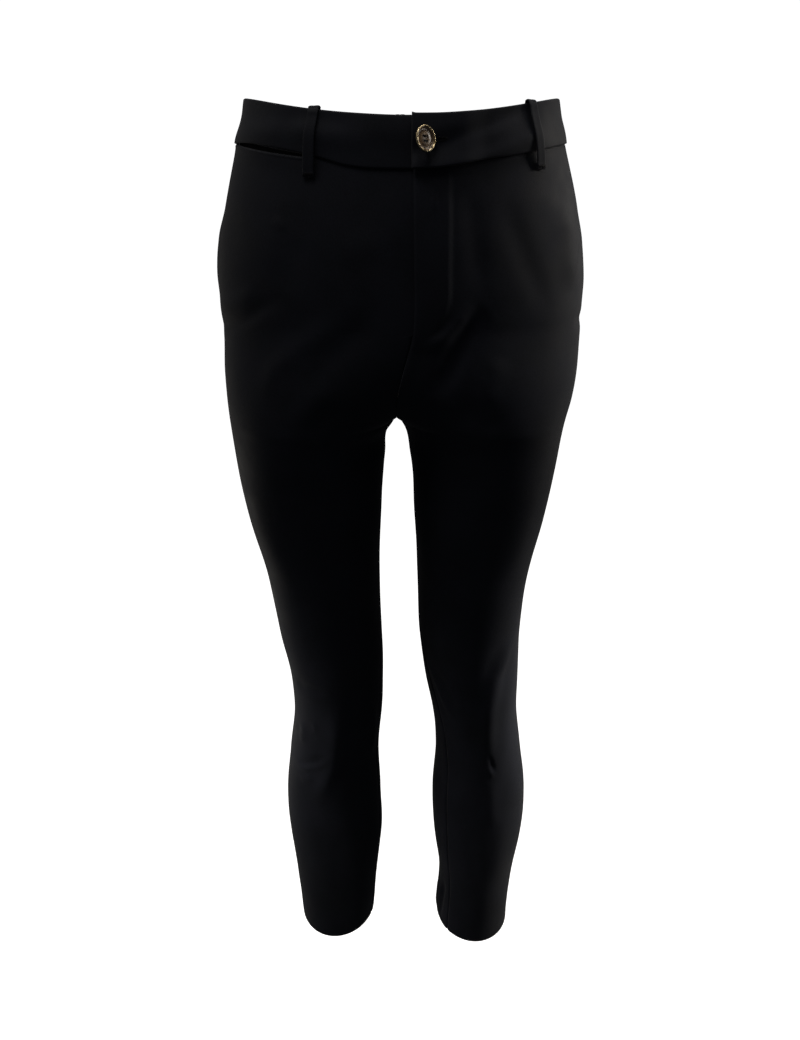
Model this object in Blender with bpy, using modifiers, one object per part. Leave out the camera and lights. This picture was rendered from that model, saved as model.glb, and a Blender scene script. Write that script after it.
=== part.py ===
# Slim ankle-length suit trousers in stretch suiting, filled out as if worn and standing.
#
# Metres, +Z up. The trousers face -Y, so +X is the wearer's left side.
# The origin is the middle of the waist opening, half way down the waistband at the side seams.
# "down" is always the distance below the top edge of the waistband at the side seams.
#
# Every piece of cloth is one patch of the same body surface. The surface is a stack of
# level sections. Each half of the body is an ellipse cut at the middle, and the two
# halves part at the crotch to become the closed rings of the legs.

import math

import bpy
from mathutils import Matrix, Vector

# ---------------------------------------------------------------- driving sizes
TOP = 0.018             # height of the waistband's top edge above the origin
BAND = 0.036            # depth of the waistband
BAND_SLANT = 0.0035     # it slants where the hips flare, so it is this much less high there
CLOTH = 0.0012          # one layer of suiting
BAND_WALL = 0.0026      # two layers of suiting with the stiffening between them
BAND_PROUD = 0.0018     # the band stands this far outside the trouser panels
SEAM = 0.00015          # half of the gap left at each seam

CROTCH = 0.262          # down to the crotch point
CLEFT = 0.172           # down to where the two halves begin to part
HEM = 0.9157            # down to the hem

SWAY = -0.003           # the crotch and legs stand this far to the side of the waist
LEFT_LONGER = 0.010     # the left hem hangs this much lower

FRONT_DIP = 0.018       # the waist runs this much lower at the centre front
BACK_DIP = 0.004        # and this much lower at the centre back
DIP_FADE = 0.110        # the dip has died out this far below the waist seam

FLY_END = 0.176         # down to the foot of the fly
UNDERLAP = 0.030        # the right front runs this far behind the left front
FLY_LIFT = 0.0019       # the left front rides this far out over the underlap
BAND_UNDERLAP = 0.033   # the right waistband runs this far behind the left one
BAND_LIFT = 0.0033      # the left waistband rides this far out over it

LOOP_WIDTH = 0.0090     # belt loop
LOOP_WALL = 0.0014
BUTTON_X = 0.0166       # the button's middle lies this far left of the middle
BUTTON_DOWN = 0.0168    # and this far below the band's top edge
BUTTON_STAND = 0.0047   # it stands on a thread shank this long
BUTTON_LEAN = 35.0      # degrees it leans, with the edge next to the fly raised
BUTTON_TURN = 10.0      # degrees the axis of the lean is turned from upright
SLIT = 0.0026           # how far the coin pocket gapes below the waistband

# Sizes of the body surface at each level, from the waist to the hem.
# right and left are the wearer's own; "out" is the side seam and "in" the inside leg,
# both measured from the middle line; front and back are the depths from the side seams.
#        down   out_r   in_r    out_l   in_l    front  back
SIZES = (
    (0.0000, 0.1255, 0.0002, 0.1278, 0.0002, 0.088, 0.092),
    (0.0180, 0.1291, 0.0002, 0.1314, 0.0002, 0.089, 0.095),
    (0.0300, 0.1348, 0.0002, 0.1358, 0.0002, 0.090, 0.097),
    (0.0400, 0.1376, 0.0002, 0.1390, 0.0002, 0.090, 0.099),
    (0.0800, 0.1492, 0.0002, 0.1512, 0.0002, 0.094, 0.109),
    (0.1200, 0.1580, 0.0002, 0.1593, 0.0002, 0.097, 0.119),
    (0.1600, 0.1596, 0.0002, 0.1640, 0.0002, 0.098, 0.125),
    (0.1900, 0.1580, 0.0002, 0.1658, 0.0002, 0.097, 0.126),
    (0.2200, 0.1590, 0.0002, 0.1660, 0.0002, 0.095, 0.121),
    (0.2450, 0.1586, 0.0002, 0.1636, 0.0002, 0.092, 0.111),
    (0.2620, 0.1574, 0.0003, 0.1600, 0.0003, 0.090, 0.103),
    (0.2665, 0.1571, 0.0042, 0.1592, 0.0042, 0.089, 0.101),
    (0.2750, 0.1566, 0.0084, 0.1580, 0.0084, 0.087, 0.098),
    (0.3000, 0.1552, 0.0115, 0.1553, 0.0130, 0.083, 0.090),
    (0.3600, 0.1475, 0.0158, 0.1471, 0.0173, 0.075, 0.079),
    (0.4300, 0.1334, 0.0184, 0.1349, 0.0215, 0.067, 0.069),
    (0.5000, 0.1253, 0.0165, 0.1313, 0.0239, 0.060, 0.061),
    (0.5600, 0.1163, 0.0158, 0.1328, 0.0317, 0.056, 0.056),
    (0.6000, 0.1157, 0.0171, 0.1342, 0.0394, 0.053, 0.056),
    (0.6600, 0.1239, 0.0219, 0.1430, 0.0449, 0.050, 0.061),
    (0.7200, 0.1306, 0.0202, 0.1506, 0.0416, 0.049, 0.066),
    (0.7800, 0.1298, 0.0192, 0.1500, 0.0446, 0.050, 0.064),
    (0.8400, 0.1253, 0.0253, 0.1428, 0.0518, 0.050, 0.058),
    (0.9157, 0.1216, 0.0309, 0.1400, 0.0507, 0.050, 0.054),
)
OUT_R, IN_R, OUT_L, IN_L, FRONT, BACK = range(1, 7)

# The rows of a trouser panel. They are close together where the seam curves under
# the crotch and spread out again down the leg.
#     at the middle, at the side seam
ROWS = (
    (0.0369, 0.0369),
    (0.0550, 0.0550),
    (0.0800, 0.0800),
    (0.1050, 0.1050),
    (0.1300, 0.1300),
    (0.1500, 0.1500),
    (0.1660, 0.1650),
    (0.1780, 0.1780),
    (0.1920, 0.1900),
    (0.2070, 0.2030),
    (0.2200, 0.2160),
    (0.2320, 0.2290),
    (0.2420, 0.2410),
    (0.2500, 0.2520),
    (0.2560, 0.2620),
    (0.2600, 0.2710),
    (0.2620, 0.2800),
    (0.2665, 0.2910),
    (0.2750, 0.3030),
    (0.2890, 0.3170),
    (0.3100, 0.3340),
    (0.3380, 0.3540),
    (0.3680, 0.3780),
    (0.4000, 0.4050),
    (0.4350, 0.4360),
    (0.4700, 0.4700),
    (0.5050, 0.5050),
    (0.5350, 0.5350),
    (0.5650, 0.5650),
    (0.6000, 0.6000),
    (0.6400, 0.6400),
    (0.6800, 0.6800),
    (0.7200, 0.7200),
    (0.7600, 0.7600),
    (0.8000, 0.8000),
    (0.8400, 0.8400),
    (0.8800, 0.8800),
    (0.9117, 0.9157),
)
FRONT_COLS = 15
BACK_COLS = 18
BAND_COLS = 31

# Where the front edge lies left of the middle: at the fly it is a lapped edge and
# below the fly it swings back to the middle seam.
#     down    x
FLY = (
    (0.0000, 0.0083),
    (0.0540, 0.0095),
    (0.1200, 0.0107),
    (0.1600, 0.0120),
    (0.1760, 0.0115),
    (0.1950, 0.0075),
    (0.2150, 0.0030),
    (0.2350, 0.0000),
    (0.2620, 0.0000),
)

# The inside leg seams swing towards the front on their way down, by these degrees.
#     down    right  left
INSEAM = (
    (0.3000, 0.0, 0.0),
    (0.4000, 3.0, 3.0),
    (0.4800, 10.0, 10.0),
    (0.5200, 15.0, 20.0),
    (0.5600, 19.0, 31.0),
    (0.6100, 18.0, 37.0),
    (0.6800, 15.0, 41.0),
    (0.7400, 15.0, 44.0),
    (0.8300, 18.0, 42.0),
    (0.9217, 20.0, 42.0),
)

# Belt loops: name, side (-1 the wearer's right), degrees round from the side seam
# towards the front at the top end, and at the bottom end.
LOOPS = (
    ("belt_loop_front_right", -1, 61.0, 62.4),
    ("belt_loop_front_left", 1, 42.0, 40.4),
    ("belt_loop_back_right", -1, -38.0, -38.0),
    ("belt_loop_back_left", 1, -38.0, -38.0),
    ("belt_loop_centre_back", -1, -90.0, -90.0),
)
# A belt loop seen from its edge: distance below the band's top edge, and how far its
# inner face stands off the body surface.
LOOP_LINE = (
    (-0.0006, -0.0006),
    (-0.0008, 0.0010),
    (-0.0001, 0.0025),
    (0.0040, 0.0027),
    (0.0100, 0.0042),
    (0.0180, 0.0050),
    (0.0270, 0.0050),
    (0.0330, 0.0042),
    (0.0372, 0.0026),
    (0.0408, 0.0011),
    (0.0445, 0.0007),
)

# Materials: name, colour, roughness.
CLOTH_LOOK = ("black_stretch_suiting", (0.012, 0.013, 0.015, 1.0), 0.85)
POCKET_LOOK = ("black_pocketing", (0.010, 0.010, 0.011, 1.0), 0.90)
BUTTON_LOOK = ("dark_horn_resin", (0.030, 0.022, 0.018, 1.0), 0.25)


# ---------------------------------------------------------------- body surface
def read(table, column, down):
    """Value of one column at a level, by a smooth curve through the rows."""
    down = min(max(down, table[0][0]), table[-1][0])
    i = 0
    while i < len(table) - 2 and down > table[i + 1][0]:
        i += 1
    x0, x1 = table[i][0], table[i + 1][0]
    y0, y1 = table[i][column], table[i + 1][column]
    step = x1 - x0
    slope = (y1 - y0) / step
    m0, m1 = slope, slope
    if i > 0:
        before = (y0 - table[i - 1][column]) / (x0 - table[i - 1][0])
        m0 = (before * step + slope * (x0 - table[i - 1][0])) / (x1 - table[i - 1][0])
    if i < len(table) - 2:
        after = (table[i + 2][column] - y1) / (table[i + 2][0] - x1)
        m1 = (slope * (table[i + 2][0] - x1) + after * step) / (table[i + 2][0] - x0)
    t = (down - x0) / step
    a = (2 * t ** 3 - 3 * t ** 2 + 1) * y0 + (3 * t ** 2 - 2 * t ** 3) * y1
    return a + ((t ** 3 - 2 * t ** 2 + t) * m0 + (t ** 3 - t ** 2) * m1) * step


def smooth(t):
    """0 below 0, 1 above 1, an S curve between."""
    t = min(max(t, 0.0), 1.0)
    return t * t * (3.0 - 2.0 * t)


def middle(down):
    """Where the middle line of the body lies at a level."""
    return SWAY * smooth((down - 0.10) / 0.14)


def section(side, down):
    """Centre, half width, front depth and back depth of one half at a level."""
    out = read(SIZES, OUT_R if side < 0 else OUT_L, down)
    inside = read(SIZES, IN_R if side < 0 else IN_L, down)
    part = min(max((down - CLEFT) / (CROTCH - CLEFT), 0.0), 1.0) ** 1.5
    half = (out - inside) / (1.0 + part)
    return inside + part * half, half, read(SIZES, FRONT, down), read(SIZES, BACK, down)


def point(side, down, angle, lift=0.0):
    """Point on the body surface. The angle runs from 0 at the side seam to +180 degrees
    round the front, and to -180 degrees round the back. lift moves it outwards."""
    centre, half, front, back = section(side, down)
    c, s = math.cos(angle), math.sin(angle)
    depth = front if s >= 0.0 else back
    nx, ny = c * depth, s * half
    n = math.hypot(nx, ny)
    x = centre + half * c + lift * nx / n
    y = depth * s + lift * ny / n
    return Vector((side * x + middle(down), -y, TOP - down))


def dip(angle):
    """How much lower the waist runs at this angle."""
    return (FRONT_DIP if angle > 0.0 else BACK_DIP) * math.sin(angle) ** 2


def angle_at(side, down, x, facing):
    """Angle where the front (facing 1) or back (-1) reaches x, measured from the
    middle towards the wearer's own side, or on the legs the inside leg seam."""
    centre, half, front, back = section(side, down)
    c = (x - centre) / half
    swing = facing * math.radians(read(INSEAM, 1 if side < 0 else 2, down))
    gap = SEAM / arc(side, down, math.pi - abs(swing))
    return facing * (min(math.acos(min(max(c, -1.0), 1.0)), math.pi - gap) - swing)


def band_depth(angle):
    """How high the waistband is at this angle."""
    from_side = min(abs(angle), math.pi - abs(angle))
    flat = smooth((from_side - math.radians(60.0)) / math.radians(22.0))
    return BAND - BAND_SLANT * (1.0 - flat)


def arc(side, down, angle):
    """Metres of surface in one radian of angle."""
    centre, half, front, back = section(side, down)
    depth = front if math.sin(angle) >= 0.0 else back
    return math.hypot(half * math.sin(angle), depth * math.cos(angle))


def fly_x(down):
    """Distance of the front edge left of the middle."""
    return read(FLY, 1, down)


# ---------------------------------------------------------------- mesh helpers
def material(look):
    name, colour, roughness = look
    found = bpy.data.materials.get(name)
    if found:
        return found
    made = bpy.data.materials.new(name)
    made.use_nodes = True
    made.diffuse_color = colour
    shader = made.node_tree.nodes["Principled BSDF"]
    shader.inputs["Base Color"].default_value = colour
    shader.inputs["Roughness"].default_value = roughness
    return made


def add_object(name, verts, faces, look):
    mesh = bpy.data.meshes.new(name)
    mesh.from_pydata([tuple(v) for v in verts], [], faces)
    mesh.validate()
    mesh.materials.append(material(look))
    made = bpy.data.objects.new(name, mesh)
    collection.objects.link(made)
    return made


def quads(rows, cols, flip):
    """Faces of a grid of points stored row by row."""
    faces = []
    for r in range(rows - 1):
        for c in range(cols - 1):
            a = r * cols + c
            b = a + cols
            # both windings start at a, so left and right pieces split alike
            faces.append((a, b, b + 1, a + 1) if flip else (a, a + 1, b + 1, b))
    return faces


def cloth(name, grid, flip, wall, look):
    """A sheet from a grid of points on its outer face, thickened inwards."""
    verts = [p for row in grid for p in row]
    made = add_object(name, verts, quads(len(grid), len(grid[0]), flip), look)
    solid = made.modifiers.new("wall", "SOLIDIFY")
    solid.thickness = wall
    solid.offset = -1.0
    solid.use_even_offset = True
    return made


# ---------------------------------------------------------------- trouser panels
def panel_point(side, facing, row, u, edge, lift):
    """One point of a panel: u is 0 at the middle or inside leg, 1 at the side seam.
    edge(down) gives the x of the middle edge; lift(down, x) pushes the point out."""
    at_middle, at_side = row
    flat = at_middle + (at_side - at_middle) * smooth(u)
    if side > 0:
        flat += LEFT_LONGER * smooth((flat - 0.80) / (HEM - 0.80))
    fade = 1.0 - smooth((flat - BAND) / DIP_FADE)
    # the angle of the middle edge and the dip there depend on each other
    inner = facing * math.pi / 2
    for again in range(4):
        inner_down = at_middle + dip(inner) * (1.0 - smooth((at_middle - BAND) / DIP_FADE))
        inner = angle_at(side, inner_down, edge(inner_down), facing)
    gap = seam_gap(flat)
    outer = facing * gap / arc(side, at_side, 0.0)
    angle = inner + (outer - inner) * u
    down = flat + dip(angle) * fade
    down -= (BAND - band_depth(angle)) * (1.0 - smooth((flat - BAND) / 0.060))
    if facing > 0 and side < 0:
        # the gaping mouth of the coin pocket, just below the waistband
        mouth = (math.degrees(angle) - 12.0) / 45.0
        if 0.0 < mouth < 1.0:
            down += SLIT * math.sin(math.pi * mouth) * (1.0 - smooth((flat - BAND) / 0.030))
    x = side * (point(side, down, angle).x - middle(down))
    return point(side, down, angle, lift(down, x))


def seam_gap(down):
    """Half the gap at the side seam, wider where the side pocket opens."""
    t = (down - 0.070) / 0.095
    if 0.0 < t < 1.0:
        return SEAM + 0.0007 * math.sin(math.pi * t)
    return SEAM


def right_edge(down):
    """Middle edge of the right front, with the rounded underlap behind the fly."""
    if down < FLY_END - 0.026:
        return -(fly_x(down) + UNDERLAP)
    t = (down - FLY_END + 0.026) / 0.024
    if t < 1.0:
        return -(fly_x(down) + UNDERLAP * math.sqrt(1.0 - t * t))
    return -fly_x(down) + SEAM


def left_edge(down):
    return fly_x(down) + SEAM


def middle_edge(down):
    return SEAM


def no_lift(down, x):
    return 0.0


def fly_lift(down, x):
    """The left front rides out over the underlap."""
    across = 1.0 - smooth((x - fly_x(down) - UNDERLAP - 0.002) / 0.014)
    along = 1.0 - smooth((down - FLY_END) / 0.016)
    return FLY_LIFT * across * along


def panel(name, side, facing, cols, edge, lift):
    grid = []
    for row in ROWS:
        line = []
        for c in range(cols):
            u = c / (cols - 1)
            line.append(panel_point(side, facing, row, u, edge, lift))
        grid.append(line)
    return cloth(name, grid, side * facing > 0, CLOTH, CLOTH_LOOK)


def pocket(name, side, low, high, top, foot, depth, wall):
    """A pocket bag hanging behind the front: between two angles, from top to foot,
    its outer face this far inside the panel's outer face."""
    grid = []
    rows = 8
    cols = 13
    for r in range(rows):
        t = r / (rows - 1)
        line = []
        for c in range(cols):
            u = c / (cols - 1)
            angle = math.radians(low + (high - low) * u)
            # the foot of the bag is rounded at both corners
            round_off = 0.012 * (2.0 * u - 1.0) ** 4
            down = top + (foot - round_off - top) * t + max(dip(angle), 0.0) * (1.0 - t)
            line.append(point(side, down, angle, -depth))
        grid.append(line)
    return cloth(name, grid, side < 0, wall, POCKET_LOOK)


# ---------------------------------------------------------------- waistband
def waistband(name, side, end_x, laps, cols):
    """One half of the waistband, from the centre back round to the front end."""
    grid = []
    for r in range(5):
        d = BAND * r / 4
        line = []
        start = angle_at(side, d + BACK_DIP, SEAM, -1)
        end = angle_at(side, d + FRONT_DIP, end_x, 1)
        for c in range(cols):
            u = c / (cols - 1)
            angle = start + (end - start) * u
            down = d * band_depth(angle) / BAND + dip(angle)
            lift = BAND_PROUD
            if laps and angle > 0.0:
                # the lapped end rides out over the underlap and eases down past it
                beyond = point(side, down, angle).x - fly_x(0.0) - BAND_UNDERLAP - 0.002
                lift += BAND_LIFT * (1.0 - smooth(beyond / 0.022))
            line.append(point(side, down, angle, lift))
        grid.append(line)
    return cloth(name, grid, side < 0, BAND_WALL, CLOTH_LOOK)


def belt_loop(name, side, top_degrees, foot_degrees):
    """A strip folded over the band's top edge and sewn down below the waist seam."""
    grid = []
    for d, off in LOOP_LINE:
        t = (d - LOOP_LINE[0][0]) / (LOOP_LINE[-1][0] - LOOP_LINE[0][0])
        angle = math.radians(top_degrees + (foot_degrees - top_degrees) * t)
        half = 0.5 * LOOP_WIDTH / arc(side, 0.02, angle)
        line = []
        for c in (-1.0, -0.33, 0.33, 1.0):
            a = angle + half * c
            if abs(top_degrees + 90.0) < 1e-6 and a < -math.pi / 2:
                # past the centre back the strip goes on round the other half
                p = point(-side, max(d + dip(a), 0.0), -math.pi - a, off)
            else:
                p = point(side, max(d + dip(a), 0.0), a, off)
            p.z = TOP - d - dip(a)
            line.append(p)
        grid.append(line)
    made = cloth(name, grid, side < 0, LOOP_WALL, CLOTH_LOOK)
    made.modifiers["wall"].offset = 1.0
    return made


# ---------------------------------------------------------------- button
def button_frame():
    """Place on the left waistband under the button: origin, outward, along, up."""
    down = BUTTON_DOWN + FRONT_DIP
    angle = angle_at(1, down, BUTTON_X, 1)
    lift = BAND_PROUD + BAND_LIFT
    here = point(1, down, angle, lift)
    out = (point(1, down, angle, lift + 0.01) - here).normalized()
    below = point(1, down + 0.010, angle, lift)
    up = (here - below).normalized()
    out = (out - up * out.dot(up)).normalized()
    along = up.cross(out).normalized()
    return here, out, along, up


def leaning(place):
    """The same place for the button itself, off the band and leaning."""
    here, out, along, up = place
    axis = Matrix.Rotation(math.radians(BUTTON_TURN), 3, out) @ up
    lean = Matrix.Rotation(math.radians(BUTTON_LEAN), 3, axis)
    return here + out * BUTTON_STAND, lean @ out, lean @ along, lean @ up


# The button from its middle outwards: radius, height. A narrow raised rim stands round
# a dish with a sloping wall.
BUTTON_LINE = (
    (0.0000, -0.0002),
    (0.0064, 0.0000),
    (0.0083, 0.0006),
    (0.0089, 0.0014),
    (0.0089, 0.0022),
    (0.0085, 0.0027),
    (0.0079, 0.0027),
    (0.0075, 0.0022),
    (0.0057, 0.0012),
    (0.0050, 0.0014),
    (0.0000, 0.0015),
)


def lathe(name, line, place, look, steps):
    """Solid of revolution about the outward direction of a place."""
    here, out, along, up = place
    verts = []
    rings = []
    for radius, height in line:
        if radius == 0.0:
            rings.append([len(verts)])
            verts.append(here + out * height)
            continue
        ring = []
        for k in range(steps):
            a = 2.0 * math.pi * k / steps
            ring.append(len(verts))
            verts.append(here + out * height + (along * math.cos(a) + up * math.sin(a)) * radius)
        rings.append(ring)
    faces = []
    for low, high in zip(rings, rings[1:]):
        for k in range(steps):
            n = (k + 1) % steps
            if len(low) == 1:
                faces.append((low[0], high[n], high[k]))
            elif len(high) == 1:
                faces.append((low[k], low[n], high[0]))
            else:
                faces.append((low[k], low[n], high[n], high[k]))
    return add_object(name, verts, faces, look)


def prism(name, here, along, up, out, width, height, reach, sides):
    """A cutter: an ellipse of the given width and height pushed both ways along out."""
    verts = []
    for end in (-1.0, 1.0):
        for k in range(sides):
            a = 2.0 * math.pi * (k + 0.5) / sides
            across = along * math.cos(a) * width / 2 + up * math.sin(a) * height / 2
            verts.append(here + across + out * reach * end)
    faces = [tuple(range(sides))[::-1], tuple(range(sides, 2 * sides))]
    for k in range(sides):
        n = (k + 1) % sides
        faces.append((k, n, n + sides, k + sides))
    made = add_object(name, verts, faces, BUTTON_LOOK)
    made.hide_render = True
    made.display_type = "WIRE"
    return made


def cut(target, cutter):
    step = target.modifiers.new("cut " + cutter.name, "BOOLEAN")
    step.operation = "DIFFERENCE"
    step.solver = "EXACT"
    step.object = cutter


# ---------------------------------------------------------------- build
for old in list(bpy.data.objects):
    bpy.data.objects.remove(old, do_unlink=True)
collection = bpy.data.collections.new("suit_trousers")
bpy.context.scene.collection.children.link(collection)

panel("front_right", -1, 1, FRONT_COLS, right_edge, no_lift)
panel("front_left", 1, 1, FRONT_COLS, left_edge, fly_lift)
panel("back_right", -1, -1, BACK_COLS, middle_edge, no_lift)
panel("back_left", 1, -1, BACK_COLS, middle_edge, no_lift)

waistband("waistband_right", -1, -(fly_x(0.0) + BAND_UNDERLAP), False, BAND_COLS)
band_left = waistband("waistband_left", 1, fly_x(0.0), True, BAND_COLS)

for loop in LOOPS:
    belt_loop(*loop)

pocket("coin_pocket", -1, 9.0, 60.0, 0.030, 0.105, CLOTH + 0.0007, 0.0008)
pocket("side_pocket_right", -1, -9.0, 52.0, 0.046, 0.205, CLOTH + 0.0020, 0.0008)
pocket("side_pocket_left", 1, -9.0, 52.0, 0.046, 0.205, CLOTH + 0.0007, 0.0008)

place = button_frame()
here, out, along, up = place
slit = prism("buttonhole_cut", here + along * 0.0075, along, up, out, 0.0180, 0.0012, 0.0045, 12)
cut(band_left, slit)

here, out, along, up = leaning(place)
button = lathe("button", BUTTON_LINE, (here, out, along, up), BUTTON_LOOK, 36)
for n, (right, high) in enumerate(((-1, -1), (1, -1), (1, 1), (-1, 1))):
    hole = here + along * right * 0.0016 + up * high * 0.0016
    cut(button, prism("button_hole_%d" % (n + 1), hole, along, up, out, 0.0017, 0.0017, 0.01, 10))
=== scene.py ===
# %% [markdown]
# Slim suit trousers, filled out as if worn and standing.
#
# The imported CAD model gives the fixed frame: four trouser panels, two halves of the
# waistband, five belt loops, three pocket bags and one button. This script dresses that
# frame. Each cloth piece becomes a fine shell on the same body surface as its solid, with
# the folds, seams and stitches that a solid can't carry.

import math

import bmesh
import bpy
import numpy as np
from mathutils import Matrix, Vector, noise


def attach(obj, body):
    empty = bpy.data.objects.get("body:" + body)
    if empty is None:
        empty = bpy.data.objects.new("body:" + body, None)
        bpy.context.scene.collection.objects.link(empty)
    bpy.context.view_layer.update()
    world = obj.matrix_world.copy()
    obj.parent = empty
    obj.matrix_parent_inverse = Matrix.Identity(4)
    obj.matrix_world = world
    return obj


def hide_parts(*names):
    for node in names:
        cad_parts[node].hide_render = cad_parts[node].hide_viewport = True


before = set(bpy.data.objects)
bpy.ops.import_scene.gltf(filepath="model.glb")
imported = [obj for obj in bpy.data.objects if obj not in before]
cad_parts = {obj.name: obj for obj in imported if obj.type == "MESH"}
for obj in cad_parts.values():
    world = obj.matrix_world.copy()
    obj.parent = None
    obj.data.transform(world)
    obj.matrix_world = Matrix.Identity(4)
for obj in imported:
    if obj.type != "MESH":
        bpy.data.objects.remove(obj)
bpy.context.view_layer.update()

# %% [markdown]
# The camera stands a little below the waist, about 0.7 m in front, and looks down the legs.
# That is why the waist looks straight on while the hems are seen from above. The lens
# follows from how many pixels one unit of slope takes up in a picture 1040 pixels high.

# %% Camera
PICTURE_HIGH = 1040.0
FOCAL_PX = 752.0
SENSOR = 36.0           # mm along the long side of the picture
LOOK_DOWN = 23.2        # degrees below the horizon

camera_data = bpy.data.cameras.new("camera")
camera_data.sensor_width = SENSOR
camera_data.lens = SENSOR * FOCAL_PX / PICTURE_HIGH
camera_data.clip_start = 0.02
camera = bpy.data.objects.new("camera", camera_data)
camera.location = (0.0, -0.702, -0.0555)
camera.rotation_euler = (math.radians(90.0 - LOOK_DOWN), 0.0, 0.0)
bpy.context.scene.collection.objects.link(camera)
bpy.context.scene.camera = camera
print("lens", round(camera_data.lens, 2), "mm")

# %% [markdown]
# Two small helpers serve every material. Colours are written the way a paint program shows
# them, and Blender's shaders want them linear, so one function converts them. The other
# adds a node with its settings and its inputs in one line.

# %% Colour and node helpers
def linear(hex_colour):
    """A colour such as #1a2b3c as Blender's linear red, green, blue and alpha."""
    parts = [int(hex_colour[i:i + 2], 16) / 255.0 for i in (1, 3, 5)]
    return (*[c / 12.92 if c <= 0.04045 else ((c + 0.055) / 1.055) ** 2.4 for c in parts], 1.0)


def add(tree, kind, inputs=None, **settings):
    """Adds a node. An input given a socket is linked to it, and any other gets the value."""
    node = tree.nodes.new(kind)
    for name, value in settings.items():
        setattr(node, name, value)
    for name, value in (inputs or {}).items():
        if isinstance(value, bpy.types.NodeSocket):
            tree.links.new(value, node.inputs[name])
        else:
            node.inputs[name].default_value = value
    return node


def start_material(name, hex_colour, roughness, **values):
    """A new material and its shader, with the plain values set on the shader itself."""
    made = bpy.data.materials.new(name)
    made.use_nodes = True
    made.diffuse_color = linear(hex_colour)
    shader = made.node_tree.nodes["Principled BSDF"]
    shader.inputs["Base Color"].default_value = linear(hex_colour)
    shader.inputs["Roughness"].default_value = roughness
    for name, value in values.items():
        shader.inputs[name.replace("_", " ")].default_value = value
    return made, made.node_tree, shader


# %% [markdown]
# The suiting is a black stretch cloth of polyester, viscose and elastane in a fine warp
# faced twill. Black cloth returns almost no light, so what shows its form is the faint
# sheen of the fibres where the surface turns away. A real twill line is about 0.4 mm from
# the next, too fine for the picture, so it is drawn 0.9 mm apart. The lines follow the
# cloth because the pattern reads the piece's own UV map, which is in metres.

# %% Suiting
TWILL_PITCH = 0.0009    # metres from line to line, as drawn
TWILL_SLOPE = 1.9       # how steeply a line climbs: a rise of 1.9 for 1 across
WAVE_PERIOD = 0.314     # a wave texture of scale 1 repeats after this many units


def suiting(name, dark, light, rough_low, rough_high, sheen):
    """Twill cloth with a slightly uneven dye and a soft nap."""
    made, tree, shader = start_material(
        name, dark, rough_high, IOR=1.45, Specular_IOR_Level=0.12,
        Sheen_Weight=sheen, Sheen_Roughness=0.38, Sheen_Tint=linear("#dddcd8"))
    uv = add(tree, "ShaderNodeUVMap", uv_map="UVMap").outputs["UV"]
    place = add(tree, "ShaderNodeTexCoord").outputs["Object"]

    # the dye takes a little unevenly, in clouds a few centimetres wide
    cloud = add(tree, "ShaderNodeTexNoise",
                {"Vector": place, "Scale": 26.0, "Detail": 3.0, "Roughness": 0.55})
    fibre = add(tree, "ShaderNodeTexNoise",
                {"Vector": place, "Scale": 900.0, "Detail": 2.0, "Roughness": 0.6})
    blend = add(tree, "ShaderNodeMix", {"Factor": 0.45, "A": cloud.outputs["Fac"],
                                        "B": fibre.outputs["Fac"]})
    shade = add(tree, "ShaderNodeMapRange", {"Value": blend.outputs["Result"],
                                             "From Min": 0.36, "From Max": 0.64})
    colour = add(tree, "ShaderNodeMix", {"Factor": shade.outputs["Result"]}, data_type="RGBA")
    colour.inputs["A"].default_value = linear(dark)
    colour.inputs["B"].default_value = linear(light)
    tree.links.new(colour.outputs["Result"], shader.inputs["Base Color"])
    rough = add(tree, "ShaderNodeMapRange",
                {"Value": cloud.outputs["Fac"], "From Min": 0.3, "From Max": 0.7,
                 "To Min": rough_low, "To Max": rough_high})
    tree.links.new(rough.outputs["Result"], shader.inputs["Roughness"])

    # twill lines across the cloth, and single yarns that stand a little prouder
    lean = add(tree, "ShaderNodeMapping",
               {"Vector": uv, "Rotation": (0.0, 0.0, math.atan(TWILL_SLOPE))})
    lines = add(tree, "ShaderNodeTexWave",
                {"Vector": lean.outputs["Vector"], "Scale": WAVE_PERIOD / TWILL_PITCH,
                 "Distortion": 0.6, "Detail": 1.0}, wave_type="BANDS", wave_profile="SIN")
    yarn = add(tree, "ShaderNodeMapping", {"Vector": uv, "Scale": (2200.0, 260.0, 1.0)})
    slub = add(tree, "ShaderNodeTexNoise", {"Vector": yarn.outputs["Vector"], "Scale": 1.0,
                                            "Detail": 1.0})
    relief = add(tree, "ShaderNodeMath", {0: lines.outputs["Fac"], 1: slub.outputs["Fac"]},
                 operation="ADD")
    bump = add(tree, "ShaderNodeBump", {"Height": relief.outputs[0], "Strength": 0.35,
                                        "Distance": 0.00012})
    tree.links.new(bump.outputs["Normal"], shader.inputs["Normal"])
    return made


cloth_face = suiting("black_twill_stretch_suiting", "#15171d", "#1d1f27", 0.60, 0.78, 0.09)
print("twill scale", round(WAVE_PERIOD / TWILL_PITCH, 1))

# %% [markdown]
# The pocket bags are a thin plain weave, duller than the suiting. The sewing thread is a
# twisted polyester, which is smoother than the cloth and catches a little more light.

# %% Pocketing and thread
pocketing = suiting("black_plain_weave_pocketing", "#151517", "#1b1b1e", 0.80, 0.92, 0.03)

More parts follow.
